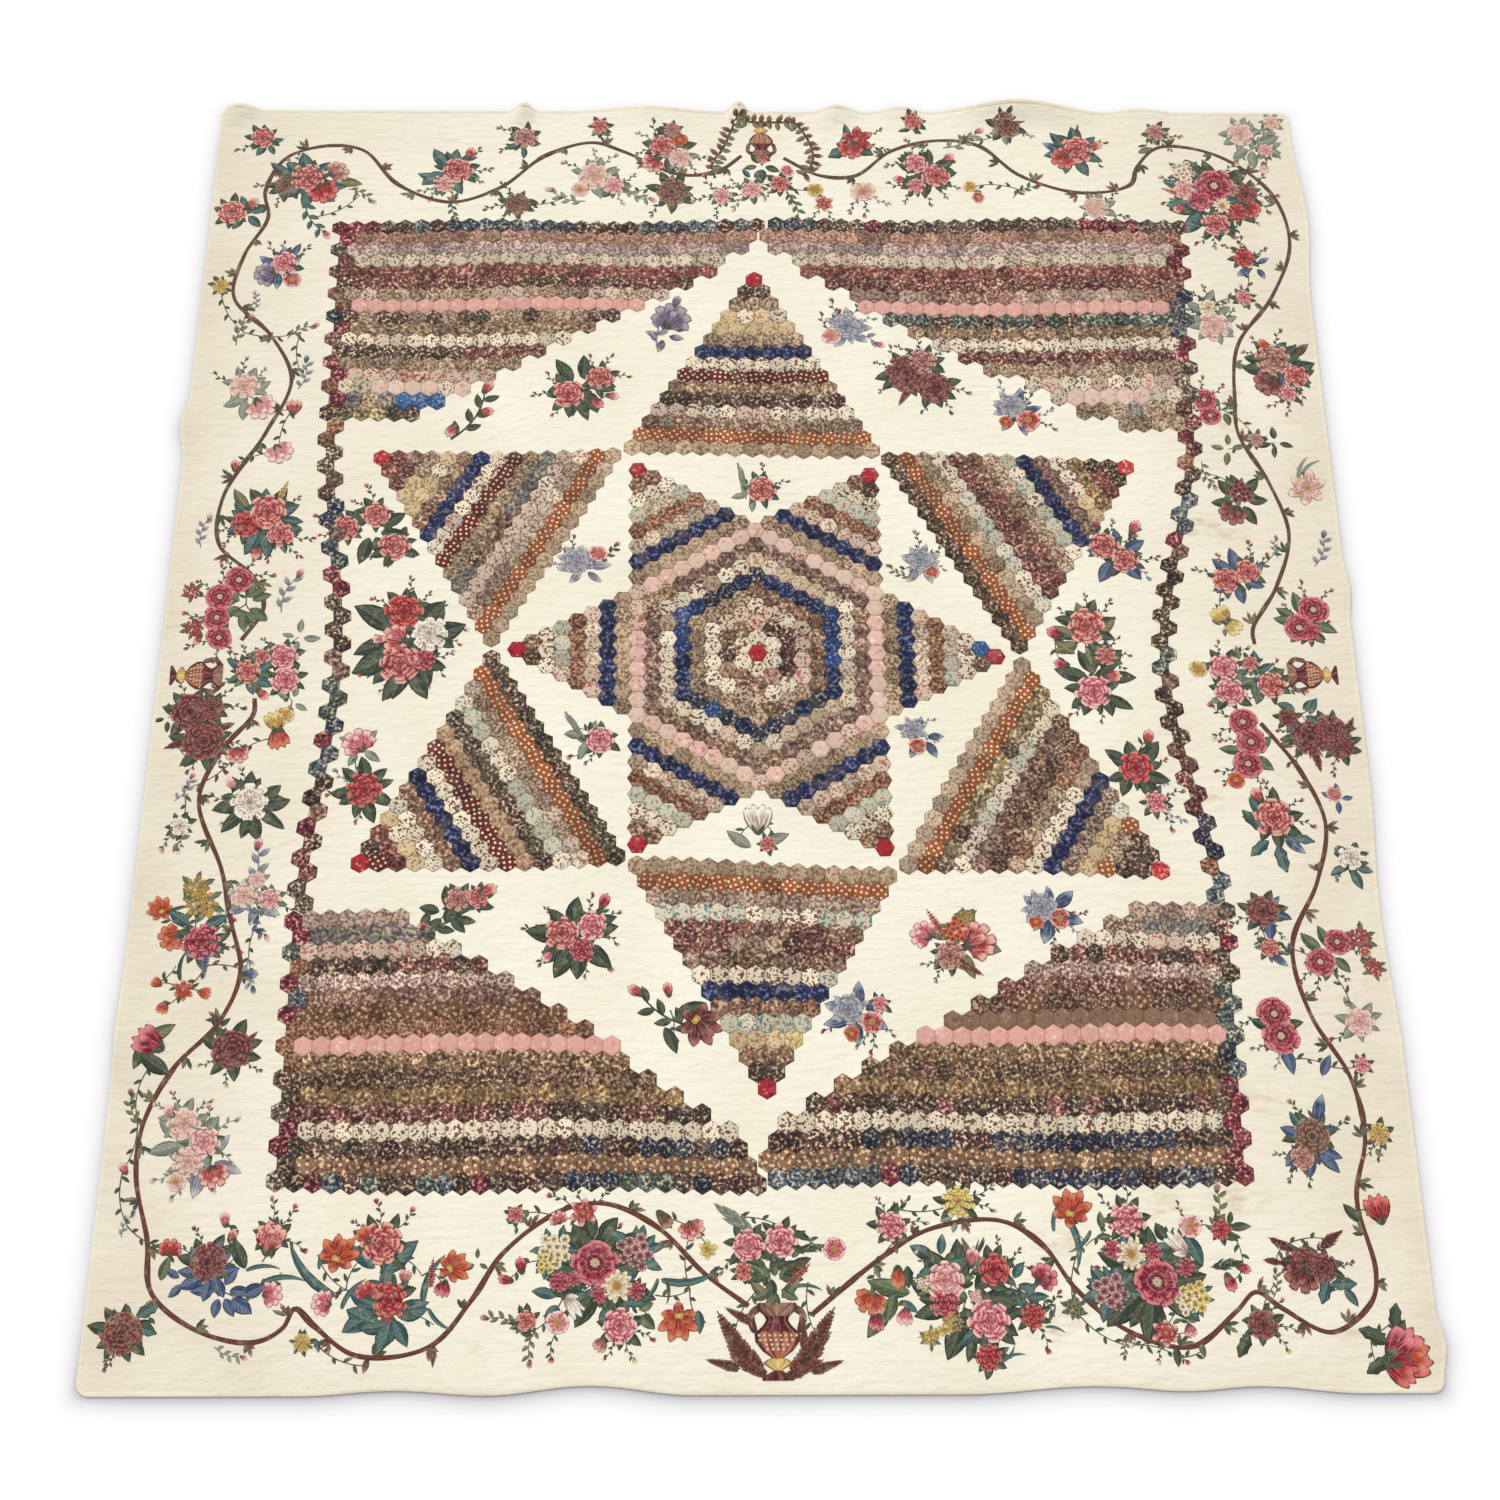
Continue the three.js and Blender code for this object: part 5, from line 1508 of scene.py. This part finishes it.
    "spray_field_foot_left": """
        leaves9 dark_green 574 938 50, rose coral 562 934 32, rose pink 592 926 28,
        peony crimson 582 950 24, bud crimson 604 902 18 20, bud pink 548 956 16 220""",
    "spray_field_foot_right": """
        leaves5 olive 958 944 46 20, spike coral 936 924 40 -30, cluster orange 958 930 28,
        carnation coral 978 940 32 60, rose brown_pink 950 956 28, plume brown_red 966 966 44 120,
        carnation pink 922 934 22 -60, berries gold 966 918 18""",
}

# Small sprigs with no piece of their own in the frame, by region
SPRIGS = {
    "sprigs_head": """
        rose coral 263 138 22, leaves5 teal 267 142 20, sprigpink teal 315 217 44 150,
        rose brown_pink 525 138 22, leaves5 teal 524 144 20 30, dahlia brown 517 204 24,
        rose coral 600 127 16, leaves3 green 600 132 12, dahlia brown 672 192 30,
        leaves4 olive 672 192 22, wild_rose faded 863 192 22, dahlia brown 1006 126 26,
        leaves4 grey_green 1004 132 18, sprigred green 1025 192 28 60, dahlia faded 1096 208 24,
        rose brown_pink 1155 133 18, leaves4 olive 1154 136 14, rose faded 1240 134 26,
        rose faded 1271 123 16, rose pale_pink 1266 151 15, bud faded 1264 168 14 180,
        leaves6 grey_green 1252 146 30, sprigfaded grey_green 1258 140 36 40,
        sprigpale_pink grey_green 1238 150 30 190, leaves4 grey_green 1270 150 18 40,
        sprigpink olive 360 195 28 120, sprigcoral teal 455 208 26 170, leaf olive 1145 150 16 60,
        wild_rose gold 970 187 12, wild_rose coral 978 197 12, sprigfaded grey_green 568 196 36 -70,
        sprigpale_pink grey_green 636 192 34 120, rose coral 913 122 18, leaves3 dark_green 910 128 14,
        sprigpink grey_green 960 140 40 60, rose pale_pink 752 190 20, rose coral 780 184 18,
        rose pale_pink 722 196 18, wild_rose gold 815 190 14, star_lily coral 824 204 18,
        wild_rose pink 787 171 12, sprigcoral green 792 206 34 160, leaves5 teal 752 180 16 180""",
    "sprigs_left": """
        dahlia gold 221 286 16, sprigpink olive 243 332 34 20, sprigpink olive 301 332 30 60,
        sprigfaded faded_blue 254 303 22, rose faded 244 386 28, leaves6 grey_green 248 396 30,
        carnation pale_pink 262 408 24 140, sprigblue faded_blue 302 375 34 10, tulip coral 294 408 18,
        carnation pale_pink 280 453 22 150, bud coral 235 466 14, sprigfaded faded_blue 205 533 34 10,
        sprigpink faded_blue 290 594 44 20, tulip gold 276 722 24 -20, tulip orange 278 738 24 160,
        carnation coral 237 755 18 180, sprigpink faded_blue 183 789 30 30, rose white 180 826 20,
        leaves3 olive 178 840 14 180, sprigpink faded_blue 251 872 54 10, rose faded 244 896 24,
        rose pale_pink 270 900 22, rose faded 257 880 16, leaves6 faded_blue 254 900 34,
        sprigpale_pink blue 258 922 34 150, sprigblue faded_blue 251 972 34 170,
        tulip crimson 150 1042 34 -60, leaf olive 160 1032 34 50, leaf dark_green 152 1064 40 -60,
        leaf dark_green 140 1056 30 190, dahlia maroon 232 1050 38, leaves4 dark_green 218 1030 18 -40,
        fern brown_red 250 1040 26 40, fern olive 228 1044 40 -40, sprigbrown olive 136 1110 34 -20,
        bud pink 124 1169 14 -30, sprigblue faded_blue 127 1226 26 20, carnation red 170 1248 18,
        leaf green 164 1268 26 10""",
    "sprigs_foot": """
        sprigpink grey_green 228 1352 30 110, dahlia gold 302 1343 17, leaf teal 318 1346 14 160,
        fern brown 433 1356 26 180, leaf brown 366 1366 16 190, leaves3 green 477 1262 16,
        peony pink 891 1226 28, leaves3 dark_green 893 1208 9, leaves3 olive 894 1242 15 180,
        peony yellow 958 1202 30, leaves4 grey_green 956 1217 18 90, iris orange 1070 1214 36 10,
        strap teal 1050 1215 34 -10, strap teal 1084 1240 56 145, rose brown_red 1263 1325 28,
        toothed dark_green 1244 1346 26 210, heads olive 1074 1308 20, sprigbrown olive 1128 1346 22 200,
        leaf dark_green 1178 1357 20 170, leaf green 1203 1350 16 160, sprigbrown olive 1274 1285 26 10,
        carnation orange 870 1302 24 200, tulip crimson 877 1322 18 190, tulip coral 878 1308 14 160""",
    "sprigs_right": """
        tulip red 1378 1210 30 -10, leaf dark_green 1352 1214 26 -50, dahlia gold 1379 1134 20,
        leaves3 olive 1376 1146 12 180, eye crimson 1274 1014 30, eye crimson 1281 1036 34,
        leaves5 dark_green 1276 1030 30, leaf navy_leaf 1290 1060 30 160, rose faded 1360 1022 28,
        leaves3 grey_green 1352 1010 18 -30, leaf navy_leaf 1325 1065 24 20, rose pink 1362 1065 16,
        eye crimson 1320 962 27, eye crimson 1337 942 25, berries coral 1360 938 24,
        berries coral 1374 968 20, leaves6 green 1328 954 34, wild_rose coral 1365 952 10,
        rose coral 1270 948 18, leaf blue 1280 960 20 120, rose brown_red 1263 912 30,
        leaves5 navy_leaf 1268 914 28 20, rose white 1351 858 24, leaves5 teal 1350 864 28 30,
        aster pink 1334 794 16, leaves4 navy_leaf 1338 798 18, eye crimson 1243 722 26,
        eye crimson 1251 742 28, eye crimson 1248 764 28, wild_rose orange 1236 780 16,
        leaves5 green 1249 752 30, tulip gold 1222 616 22 -30, tulip yellow 1232 626 20 130,
        leaves3 olive 1224 626 14 180, eye crimson 1299 628 28, eye crimson 1313 610 28,
        rose crimson 1310 632 20, leaves7 green 1304 622 34, rose coral 1226 580 26,
        rose coral 1248 572 24, leaves6 navy_leaf 1238 578 34, sprigpurple_grey faded_blue 1319 551 36 20,
        sprigpink faded_blue 1277 548 22, leaves7 dark_green 1240 500 34, cluster maroon 1240 492 26,
        carnation brown_red 1232 514 22 210, star_lily faded 1308 488 36 10,
        strap grey_green 1296 468 32 -6, strap grey_green 1306 464 26 24, eye crimson 1204 400 22,
        eye crimson 1210 416 20, leaves4 green 1222 410 20 60, rose faded 1214 326 30,
        rose cream 1208 308 18, leaves6 grey_green 1208 316 32, rose pink 1244 298 16,
        leaves3 green 1252 302 14, rose brown_pink 1256 440 15, leaves4 dark_green 1275 443 20,
        leaves4 olive 1228 449 20, rose red 1244 258 20, leaves4 blue 1254 266 22 60,
        sprigpink faded_blue 1242 297 22, sprigpink olive 1208 474 30 160""",
    "sprigs_field": """
        sprigcoral dark_green 468 415 66 30, bud coral 452 430 18 210, bud coral 486 412 16 80,
        sprigpurple_grey faded_blue 666 326 54 20, carnation purple_grey 672 318 30 20,
        leaves4 purple_grey 664 336 24, rose faded_blue 846 326 26, wild_rose pale_pink 832 336 18,
        sprigpink faded_blue 858 338 40 110, leaves5 faded_blue 848 330 26, rose faded_blue 1012 406 24,
        wild_rose coral 1028 420 22, leaves5 blue 1018 412 30 10, wild_rose orange 1006 422 12,
        rose coral 762 490 26, grass grey_green 742 480 44 -10, leaves4 grey_green 752 494 22 -90,
        rose faded_blue 576 562 26, wild_rose pink 598 554 16, leaves5 faded_blue 584 568 28,
        sprigcoral dark_green 604 554 30 50, rose faded_blue 920 560 24, wild_rose coral 932 572 14,
        leaves5 faded_blue 920 566 24, sprigcoral olive 900 572 24 -60, rose faded_blue 912 730 20,
        wild_rose coral 918 746 16, leaves5 blue 922 738 26, rose pink 600 740 26,
        grass grey_green 576 728 46 -30, leaves4 grey_green 588 738 26 20, tulip white 758 820 32,
        leaf grey_green 738 840 30 -60, leaf grey_green 776 838 28 60, rose coral 768 844 16,
        rose coral 346 528 26, rose coral 376 515 26, rose coral 394 546 30,
        leaves7 dark_green 372 530 42, leaves4 dark_green 396 548 26 20, carnation pink 358 742 26 -30,
        peony red 364 790 34, leaves7 dark_green 364 790 40, leaves4 grey_green 360 748 28 -60,
        rose coral 1104 546 28, rose coral 1124 560 26, leaves5 navy_leaf 1116 556 36,
        bud coral 1134 528 18 30, bud coral 1096 524 14 -10, rose red 1136 768 32,
        leaves7 dark_green 1136 770 40, bud coral 1148 738 18 10, peony pink 1156 802 22,
        sprigcoral dark_green 448 912 80 60, rose brown_pink 458 900 24, rose coral 478 898 20,
        leaves5 dark_green 446 914 32, bud coral 424 926 16 230, rose faded_blue 1042 908 26,
        wild_rose coral 1060 918 20, leaves6 blue 1050 912 34, wild_rose orange 1036 922 14,
        iris brown_red 696 1020 40 130, sprigcoral dark_green 670 1010 70 -60,
        leaf dark_green 690 1008 34 60, leaf dark_green 672 1040 30 150, bud coral 668 990 16 -10,
        rose faded_blue 848 1010 28, wild_rose coral 872 1022 20, leaves6 blue 860 1016 38,
        wild_rose orange 852 1034 14, rose pink 880 1004 16""",
    "urn_flowers": """
        fern grey_green 733 1218 54 -52, leaf dark_green 790 1232 20 30, leaf dark_green 803 1236 18 110,
        leaves6 dark_green 772 1272 32, leaves4 green 790 1262 22 20, rose pink 749 1246 30,
        rose pink 780 1241 31, rose coral 744 1271 18, leaves6 green 776 1284 34,
        leaves5 dark_green 764 1266 26 20, leaf green 790 1288 26 40, leaf dark_green 800 1262 24 60,
        fern brown_red 797 1268 34 40, leaf olive 758 1290 24 -50, wild_rose pink 834 1249 20,
        fern dark_green 812 1248 34 80, spike orange 800 1274 34 45, strap teal 808 1282 30 70,
        plume bark_red 734 1340 74 -30, plume bark_red 742 1350 60 -44, plume bark_red 748 1366 44 -64,
        plume bark_red 722 1364 38 -75, plume bark_red 818 1338 78 30, plume bark_red 812 1352 62 46,
        plume bark_red 806 1368 44 66, plume bark_red 804 1336 32 0, plume bark_red 828 1366 38 72,
        plume bark_red 738 1315 34 -60, rose coral 248 672 24, rose pink 283 657 27, rose pink 286 680 28,
        leaves6 teal 250 672 30, leaves4 grey_green 299 637 22, leaves4 grey_green 292 701 22 120,
        wild_rose gold 285 715 16, leaves5 green 252 674 26 90, rose coral 262 656 16,
        bud coral 262 694 16 130, rose coral 1271 685 26, rose pink 1224 668 28, rose pink 1230 692 28,
        leaves6 teal 1254 676 30, wild_rose gold 1198 669 16, leaves5 green 1262 680 28 270,
        leaves4 olive 1240 664 22, rose coral 1250 664 16, fern grey_green 1216 700 26 240,
        leaves5 dark_green 761 166 20 180, rose coral 762 158 12""",
}

# Vine lengths, mm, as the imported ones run: width, colour, route
VINES = {
    "vine_head_left": (8, "bark", [
        (-15, 1245), (-55, 1210), (-115, 1190), (-170, 1195), (-280, 1250), (-350, 1273), (-455, 1235),
        (-555, 1145), (-665, 1105), (-780, 1150), (-860, 1240), (-945, 1250), (-1030, 1215),
        (-1070, 1125), (-1060, 1055), (-1105, 955), (-1120, 845), (-1035, 750), (-985, 640), (-1030, 510),
        (-1110, 350), (-1110, 240), (-1035, 165), (-1010, 95), (-1050, 20)]),
    "vine_foot_left": (8.8, "bark_red", [
        (-1015, -110), (-1015, -145), (-1070, -220), (-1110, -330), (-1055, -480), (-1030, -585),
        (-1005, -690), (-1040, -790), (-1115, -875), (-1165, -985), (-1170, -1085), (-1140, -1205),
        (-1125, -1300), (-1035, -1370), (-935, -1390), (-885, -1365), (-865, -1330), (-830, -1360),
        (-750, -1415), (-620, -1400), (-545, -1315), (-490, -1230), (-380, -1150), (-300, -1140),
        (-205, -1185), (-120, -1270), (-40, -1330)]),
    "vine_foot_right": (8.8, "bark_red", [
        (78, -1345), (115, -1315), (205, -1245), (300, -1190), (435, -1175), (510, -1220), (570, -1305),
        (660, -1380), (775, -1410), (865, -1345), (905, -1310), (950, -1340), (1040, -1385),
        (1120, -1330), (1135, -1275), (1115, -1135), (1145, -1015), (1130, -900), (1065, -770),
        (1045, -630), (1110, -495), (1140, -370), (1100, -255), (1030, -150)]),
    "vine_head_right": (8, "bark", [
        (1035, 30), (1035, 65), (1095, 165), (1135, 290), (1105, 415), (1050, 535), (1050, 615),
        (1070, 760), (1160, 890), (1215, 1035), (1185, 1170), (1070, 1270), (940, 1290), (885, 1235),
        (865, 1185), (750, 1160), (615, 1205), (525, 1285), (430, 1297), (325, 1265), (240, 1195),
        (160, 1195), (80, 1240)]),
}
VINE_STEP = 6
ROUTE_STEPS = 24
SPUR_STEP = 96
SPUR_LENGTHS = (16, 30)
SPUR_LEANS = (45, 80)
SPUR_SPREADS = (-32, 6, 40)
SPUR_COLOURS = ("olive", "dark_green", "brown")
VINE_ACROSS = np.array([-1, -0.6, 0, 0.6, 1])

# Urns, mm, each opening towards the quilt's middle: place, height, turn of its opening
URNS = {
    "urn_foot": ((12, -1395), 140, 0), "urn_left": ((-1135, -60), 105, 90),
    "urn_right": ((1150, -40), 105, -90), "urn_head": ((30, 1290), 90, 180),
}
# An urn's parts from its foot up: colour, mark, then its outline as half widths and heights, both shares
# of the urn's height. A part whose mark is above the leaf mark has ribs like a leaf's
URN_PARTS = [
    ("brown_red", 0.2, [(0.2, -0.5), (0.21, -0.46), (0.12, -0.41), (0.05, -0.37)]),
    ("gold", 0.7, [(0.05, -0.37), (0.12, -0.33), (0.19, -0.28), (0.15, -0.24), (0.06, -0.2)]),
    ("urn_clay", 0.3, [(0.06, -0.22), (0.2, -0.12), (0.29, 0.0), (0.3, 0.1), (0.26, 0.14)]),
    ("maroon", 0.1, [(0.27, 0.13), (0.19, 0.2), (0.14, 0.28), (0.17, 0.34)]),
    ("brown", 0.7, [(0.16, 0.33), (0.24, 0.4), (0.27, 0.46), (0.25, 0.5)]),
]
URN_ROWS = 9
URN_DOTS = (-0.1, -0.04, 0.02, 0.08)
DOT_GAP = 0.07
DOT_RADIUS = 0.019
# Two blades of each handle, as shares of the height: start up and out, turn outwards, length, bend
HANDLES = ((0.12, 0.28, 38, 0.3, -70), (0.44, 0.2, 100, 0.28, 70))

# The leafy ring over the head urn: its route in photo pixels, then sizes in mm
WREATH = [(715, 178), (712, 164), (722, 150), (734, 124), (742, 104), (750, 112), (760, 114), (775, 114),
          (790, 119), (804, 134), (812, 150), (812, 164), (803, 176)]
WREATH_ROOM = 32
WREATH_STEP = 9
WREATH_WIDTH = 7
WREATH_LEAVES = (16, 28)


def smooth_route(points, step):
    """A centripetal curve through the points, as an even run of places."""
    points = np.array(points, float)
    padded = np.vstack([2 * points[0] - points[1], points, 2 * points[-1] - points[-2]])
    fine = []
    for a, b, c, d in zip(padded, padded[1:], padded[2:], padded[3:]):
        gaps = [max(np.linalg.norm(q - p), 1e-6) for p, q in ((a, b), (b, c), (c, d))]
        knots = np.cumsum([0, *np.sqrt(gaps)])
        for t in np.linspace(knots[1], knots[2], ROUTE_STEPS, endpoint=False):
            ab = (a * (knots[1] - t) + b * (t - knots[0])) / (knots[1] - knots[0])
            bc = (b * (knots[2] - t) + c * (t - knots[1])) / (knots[2] - knots[1])
            cd = (c * (knots[3] - t) + d * (t - knots[2])) / (knots[3] - knots[2])
            abc = (ab * (knots[2] - t) + bc * (t - knots[0])) / (knots[2] - knots[0])
            bcd = (bc * (knots[3] - t) + cd * (t - knots[1])) / (knots[3] - knots[1])
            fine.append((abc * (knots[2] - t) + bcd * (t - knots[1])) / (knots[2] - knots[1]))
    fine = np.array([*fine, points[-1]])
    run = np.concatenate([[0], np.cumsum(np.linalg.norm(np.diff(fine, axis=0), axis=1))])
    even = np.linspace(0, run[-1], int(run[-1] / step))
    return np.column_stack([np.interp(even, run, fine[:, axis]) for axis in (0, 1)])


def make_vine(name, cloth, seed):
    width, colour, route = VINES[name]
    middle = smooth_route(route, VINE_STEP) + STAR_AT
    count = len(middle)
    vine = Bouquet(seed)
    ahead = np.gradient(middle, axis=0)
    side = right_of(ahead)
    run = np.arange(count) * VINE_STEP
    knots = 1 + 0.1 * np.sin(run / 23) + 0.35 * np.maximum(0, np.sin(run / 61)) ** 12
    points = ribbon(middle, side, knots * width / 2, VINE_ACROSS)
    vine.lay(points, np.tile([0, 0.4, 0.55, 0.4, 0], count), strip_faces(5, count), inks_of(colour),
             np.repeat(0.55 + 0.05 * np.sin(run / 17), 5), np.tile([-0.95, -0.6, 0.1, 0.6, 0.95], count),
             np.repeat(0.25 + 0.2 * np.sin(run / 90), 5))
    step = SPUR_STEP // VINE_STEP
    for number, spot in enumerate(range(step // 2, count - 6, step)):
        hand = 1 if number % 2 else -1
        way = turn_of(ahead[spot]) + hand * vine.random.uniform(*SPUR_LEANS)
        base = middle[spot] + side[spot] * hand * width * 0.3
        for spread in SPUR_SPREADS:
            vine.blade(base, way + spread, vine.random.uniform(*SPUR_LENGTHS), 10,
                       vine.random.choice(SPUR_COLOURS), 1, "toothed", 20)
    vine.make("vine_print_" + name[5:], cloth, "vine_print", [name])


def lay_urn_part(urn, at, height, turn, number):
    """One part of an urn: a grid of points between its two outlines."""
    colour, mark, half = URN_PARTS[number]
    steps = np.linspace(0, len(half) - 1, URN_ROWS)
    outs, ups = [np.interp(steps, range(len(half)), column) for column in zip(*half)]
    across = np.linspace(-1, 1, URN_ROWS)
    up, side = heading(turn) * height, heading(turn + 90) * height
    points = np.concatenate([at + up * rise + np.outer(across * out, side) for out, rise in zip(outs, ups)])
    puff = np.tile(0.5 * (1 - across ** 4), URN_ROWS) + 0.3 * number
    urn.lay(points, puff, grid_faces(URN_ROWS, URN_ROWS), inks_of(colour),
            np.repeat(np.linspace(0.42, 0.62, URN_ROWS), URN_ROWS), np.tile(across, URN_ROWS), mark)


def make_urn(name, cloth, seed):
    at, height, turn = URNS[name]
    at = np.array(at) + STAR_AT
    up, side = heading(turn) * height, heading(turn + 90) * height
    urn = Bouquet(seed)
    for number in range(len(URN_PARTS)):
        lay_urn_part(urn, at, height, turn, number)
    for number, rise in enumerate(URN_DOTS):
        reach = 0.13 + 0.8 * (rise - URN_DOTS[0])
        for out in np.arange(-reach + DOT_GAP * 0.5 * (number % 2), reach, DOT_GAP):
            urn.disc(at + up * rise + side * out, height * DOT_RADIUS, "cream", 13)
    for hand in (-1, 1):
        for rise, out, lean, length, bend in HANDLES:
            urn.blade(at + up * rise + side * hand * out, turn + hand * lean, height * length, height * 0.1,
                      "brown", 2, "strap", bend * hand)
    urn.make("urn_print_" + name[4:], cloth, "urn_print", [name])


def make_wreath(bouquet):
    """The leafy ring over the head urn."""
    chance = bouquet.random
    middle = smooth_route([on_quilt(*spot) for spot in WREATH], WREATH_STEP)
    for spot in middle:
        spot[1] -= max(0, WREATH_ROOM - room(spot))
    for start, end in zip(middle, middle[1:]):
        bouquet.stem(start, end, WREATH_WIDTH, "bark_red", 1, 0)
    for spot, after in zip(middle[1:-1:2], middle[2::2]):
        for hand, colour in ((-1, "brown"), (1, "olive")):
            way = turn_of(after - spot) + 55 * hand + chance.uniform(-20, 20)
            bouquet.blade(spot, way, chance.uniform(*WREATH_LEAVES), 12, colour, 2, bend=25 * hand)


def add_twigs(bouquet, joints, blooms):
    """Thin twigs that reach out from the larger blooms, where no motif or rim is in the way."""
    middle = np.mean([at for at, _ in joints], 0)
    chance = bouquet.random
    colours = [colour for colour, _, _ in blooms]
    for _, at, size in blooms:
        if size < TWIG_FROM:
            continue
        out = turn_of(at - middle) if len(joints) > 1 else LONE_WAY
        for spread in TWIG_SPREADS:
            way = out + spread + chance.uniform(-15, 15)
            length = chance.uniform(*TWIG_LENGTHS)
            tip = at + heading(way) * (size * TWIG_START + length)
            free = min(np.linalg.norm(tip - other) - reach / 2 for other, reach in joints) > 0
            if free and room(tip) > TWIG_ROOM:
                colour = chance.choice(colours)
                sprig(bouquet, colour, at + heading(way) * (size * TWIG_START + length / 2), length, way, 4,
                      FOLIAGE.get(colour, "dark_green"), chance.choice(("bud", "tulip")))


def draw_rows(bouquet, rows):
    """Draws the motifs of a table's text, one motif between commas, and twigs beside the blooms."""
    joints = []
    blooms = []
    for row in rows.split(","):
        kind, colour, *numbers = row.split()
        bloom(bouquet, joints, kind, colour, *[float(number) for number in numbers])
        if kind in OPEN_FLOWERS:
            blooms.append((colour, *joints[-1]))
    if blooms:
        add_twigs(bouquet, joints, blooms)


def make_applique():
    cloth = chintz_cloth()
    for seed, name in enumerate(VINES):
        make_vine(name, cloth, SEEDS["vines"] + seed)
    for seed, name in enumerate(URNS):
        make_urn(name, cloth, SEEDS["urns"] + seed)
    for seed, (name, rows) in enumerate(SPRAYS.items()):
        bouquet = Bouquet(SEEDS["sprays"] + seed)
        draw_rows(bouquet, rows)
        bouquet.make("applique_" + name[6:], cloth, "flower_prints", [name])
    for seed, (name, rows) in enumerate(SPRIGS.items()):
        bouquet = Bouquet(SEEDS["sprigs"] + seed)
        draw_rows(bouquet, rows)
        if name == "sprigs_head":
            make_wreath(bouquet)
        bouquet.make(name, cloth, "flower_prints")


# Room: a white floor with a painted soft shadow round the cover, and soft light; reaches in mm
FLOOR_REACH = 12000
FLOOR_WHITE = (254, 254, 254)
# Colour, reach and strength of the shadow painted on the floor round the cover
PAINTED_SHADOW_COLOUR = (178, 175, 182)
PAINTED_SHADOW_INSIDE = 40
PAINTED_SHADOW_REACH = 85
PAINTED_SHADOW_FADE = 22
SHADE_HIGH = 0.05
SHADE_LOOPS = 9
SHADE_EVEN = 24  # rim points to each side that even out the strip's direction
PAINTED_SHADOW_STRENGTH = (0.55, 0.45, 0.35)  # at the sides, more at the foot, less at the head
WORLD_LIGHT = 0.72
KEY_LIGHT = 1.45
KEY_SPREAD = 28
KEY_TILT = (-42, -24)


def make_floor():
    """A white floor, with a painted soft grey shadow round the cover's edge that fades away."""
    x, y, _ = cover_at(*rim_loop().T)
    rim = np.column_stack([x, y])
    outward = right_of(np.roll(rim, -2, 0) - np.roll(rim, 2, 0))
    outward = sum(np.roll(outward, shift, 0) for shift in range(-SHADE_EVEN, SHADE_EVEN + 1))
    outward /= np.linalg.norm(outward, axis=1)[:, None]
    # Painted shadow: its strength round the rim, strongest below the foot edge and faintest at the head
    usual, more, less = PAINTED_SHADOW_STRENGTH
    strength = usual + more * np.clip(-outward[:, 1], 0, 1) - less * np.clip(outward[:, 1], 0, 1)
    reaches = np.concatenate([[-PAINTED_SHADOW_INSIDE], np.linspace(0, 1, SHADE_LOOPS) ** 1.6 * PAINTED_SHADOW_REACH])
    depth = [strength * math.exp(-max(reach, 0) / PAINTED_SHADOW_FADE) * (1 - max(reach, 0) / PAINTED_SHADOW_REACH)
             for reach in reaches]
    points = np.concatenate([rim + outward * reach for reach in reaches])
    points = np.column_stack([points, np.full(len(points), SHADE_HIGH)])
    ground = Pieces()
    ground.add(points, loop_faces(len(rim), len(reaches)), shade=np.concatenate(depth)[:, None])
    wide = np.array([(-1, -1, 0), (1, -1, 0), (1, 1, 0), (-1, 1, 0)]) * FLOOR_REACH
    ground.add(wide, [[0, 1, 2, 3]], shade=0.0)
    paper = Shader("floor_white_painted_shadow", roughness=0.95, sheen=0.0)
    # Painted shadow: the floor's white is mixed towards grey where the ring's shade value is high
    colour = paper.mix(paper.attribute("shade"), linear(FLOOR_WHITE), linear(PAINTED_SHADOW_COLOUR))
    ground.shape("floor", paper.finish(colour))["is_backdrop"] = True


def make_light():
    world = bpy.data.worlds.new("studio")
    world.use_nodes = True
    background = world.node_tree.nodes["Background"]
    background.inputs["Color"].default_value = (1, 1, 1, 1)
    background.inputs["Strength"].default_value = WORLD_LIGHT
    bpy.context.scene.world = world
    data = bpy.data.lights.new("key", "SUN")
    data.energy = KEY_LIGHT
    data.angle = math.radians(KEY_SPREAD)
    key = bpy.data.objects.new("key", data)
    key.rotation_euler = (math.radians(KEY_TILT[0]), math.radians(KEY_TILT[1]), 0)
    bpy.context.scene.collection.objects.link(key)
    bpy.context.scene.view_settings.view_transform = "Standard"
    bpy.context.scene.view_settings.look = "None"


def write_sizes():
    boxes = {"cad": cad_box, "visual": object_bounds()}
    rows = {name: [list(low), list(high)] for name, (low, high) in boxes.items()}


make_camera()
make_cover()
make_mosaic()
make_applique()
make_floor()
make_light()
write_sizes()
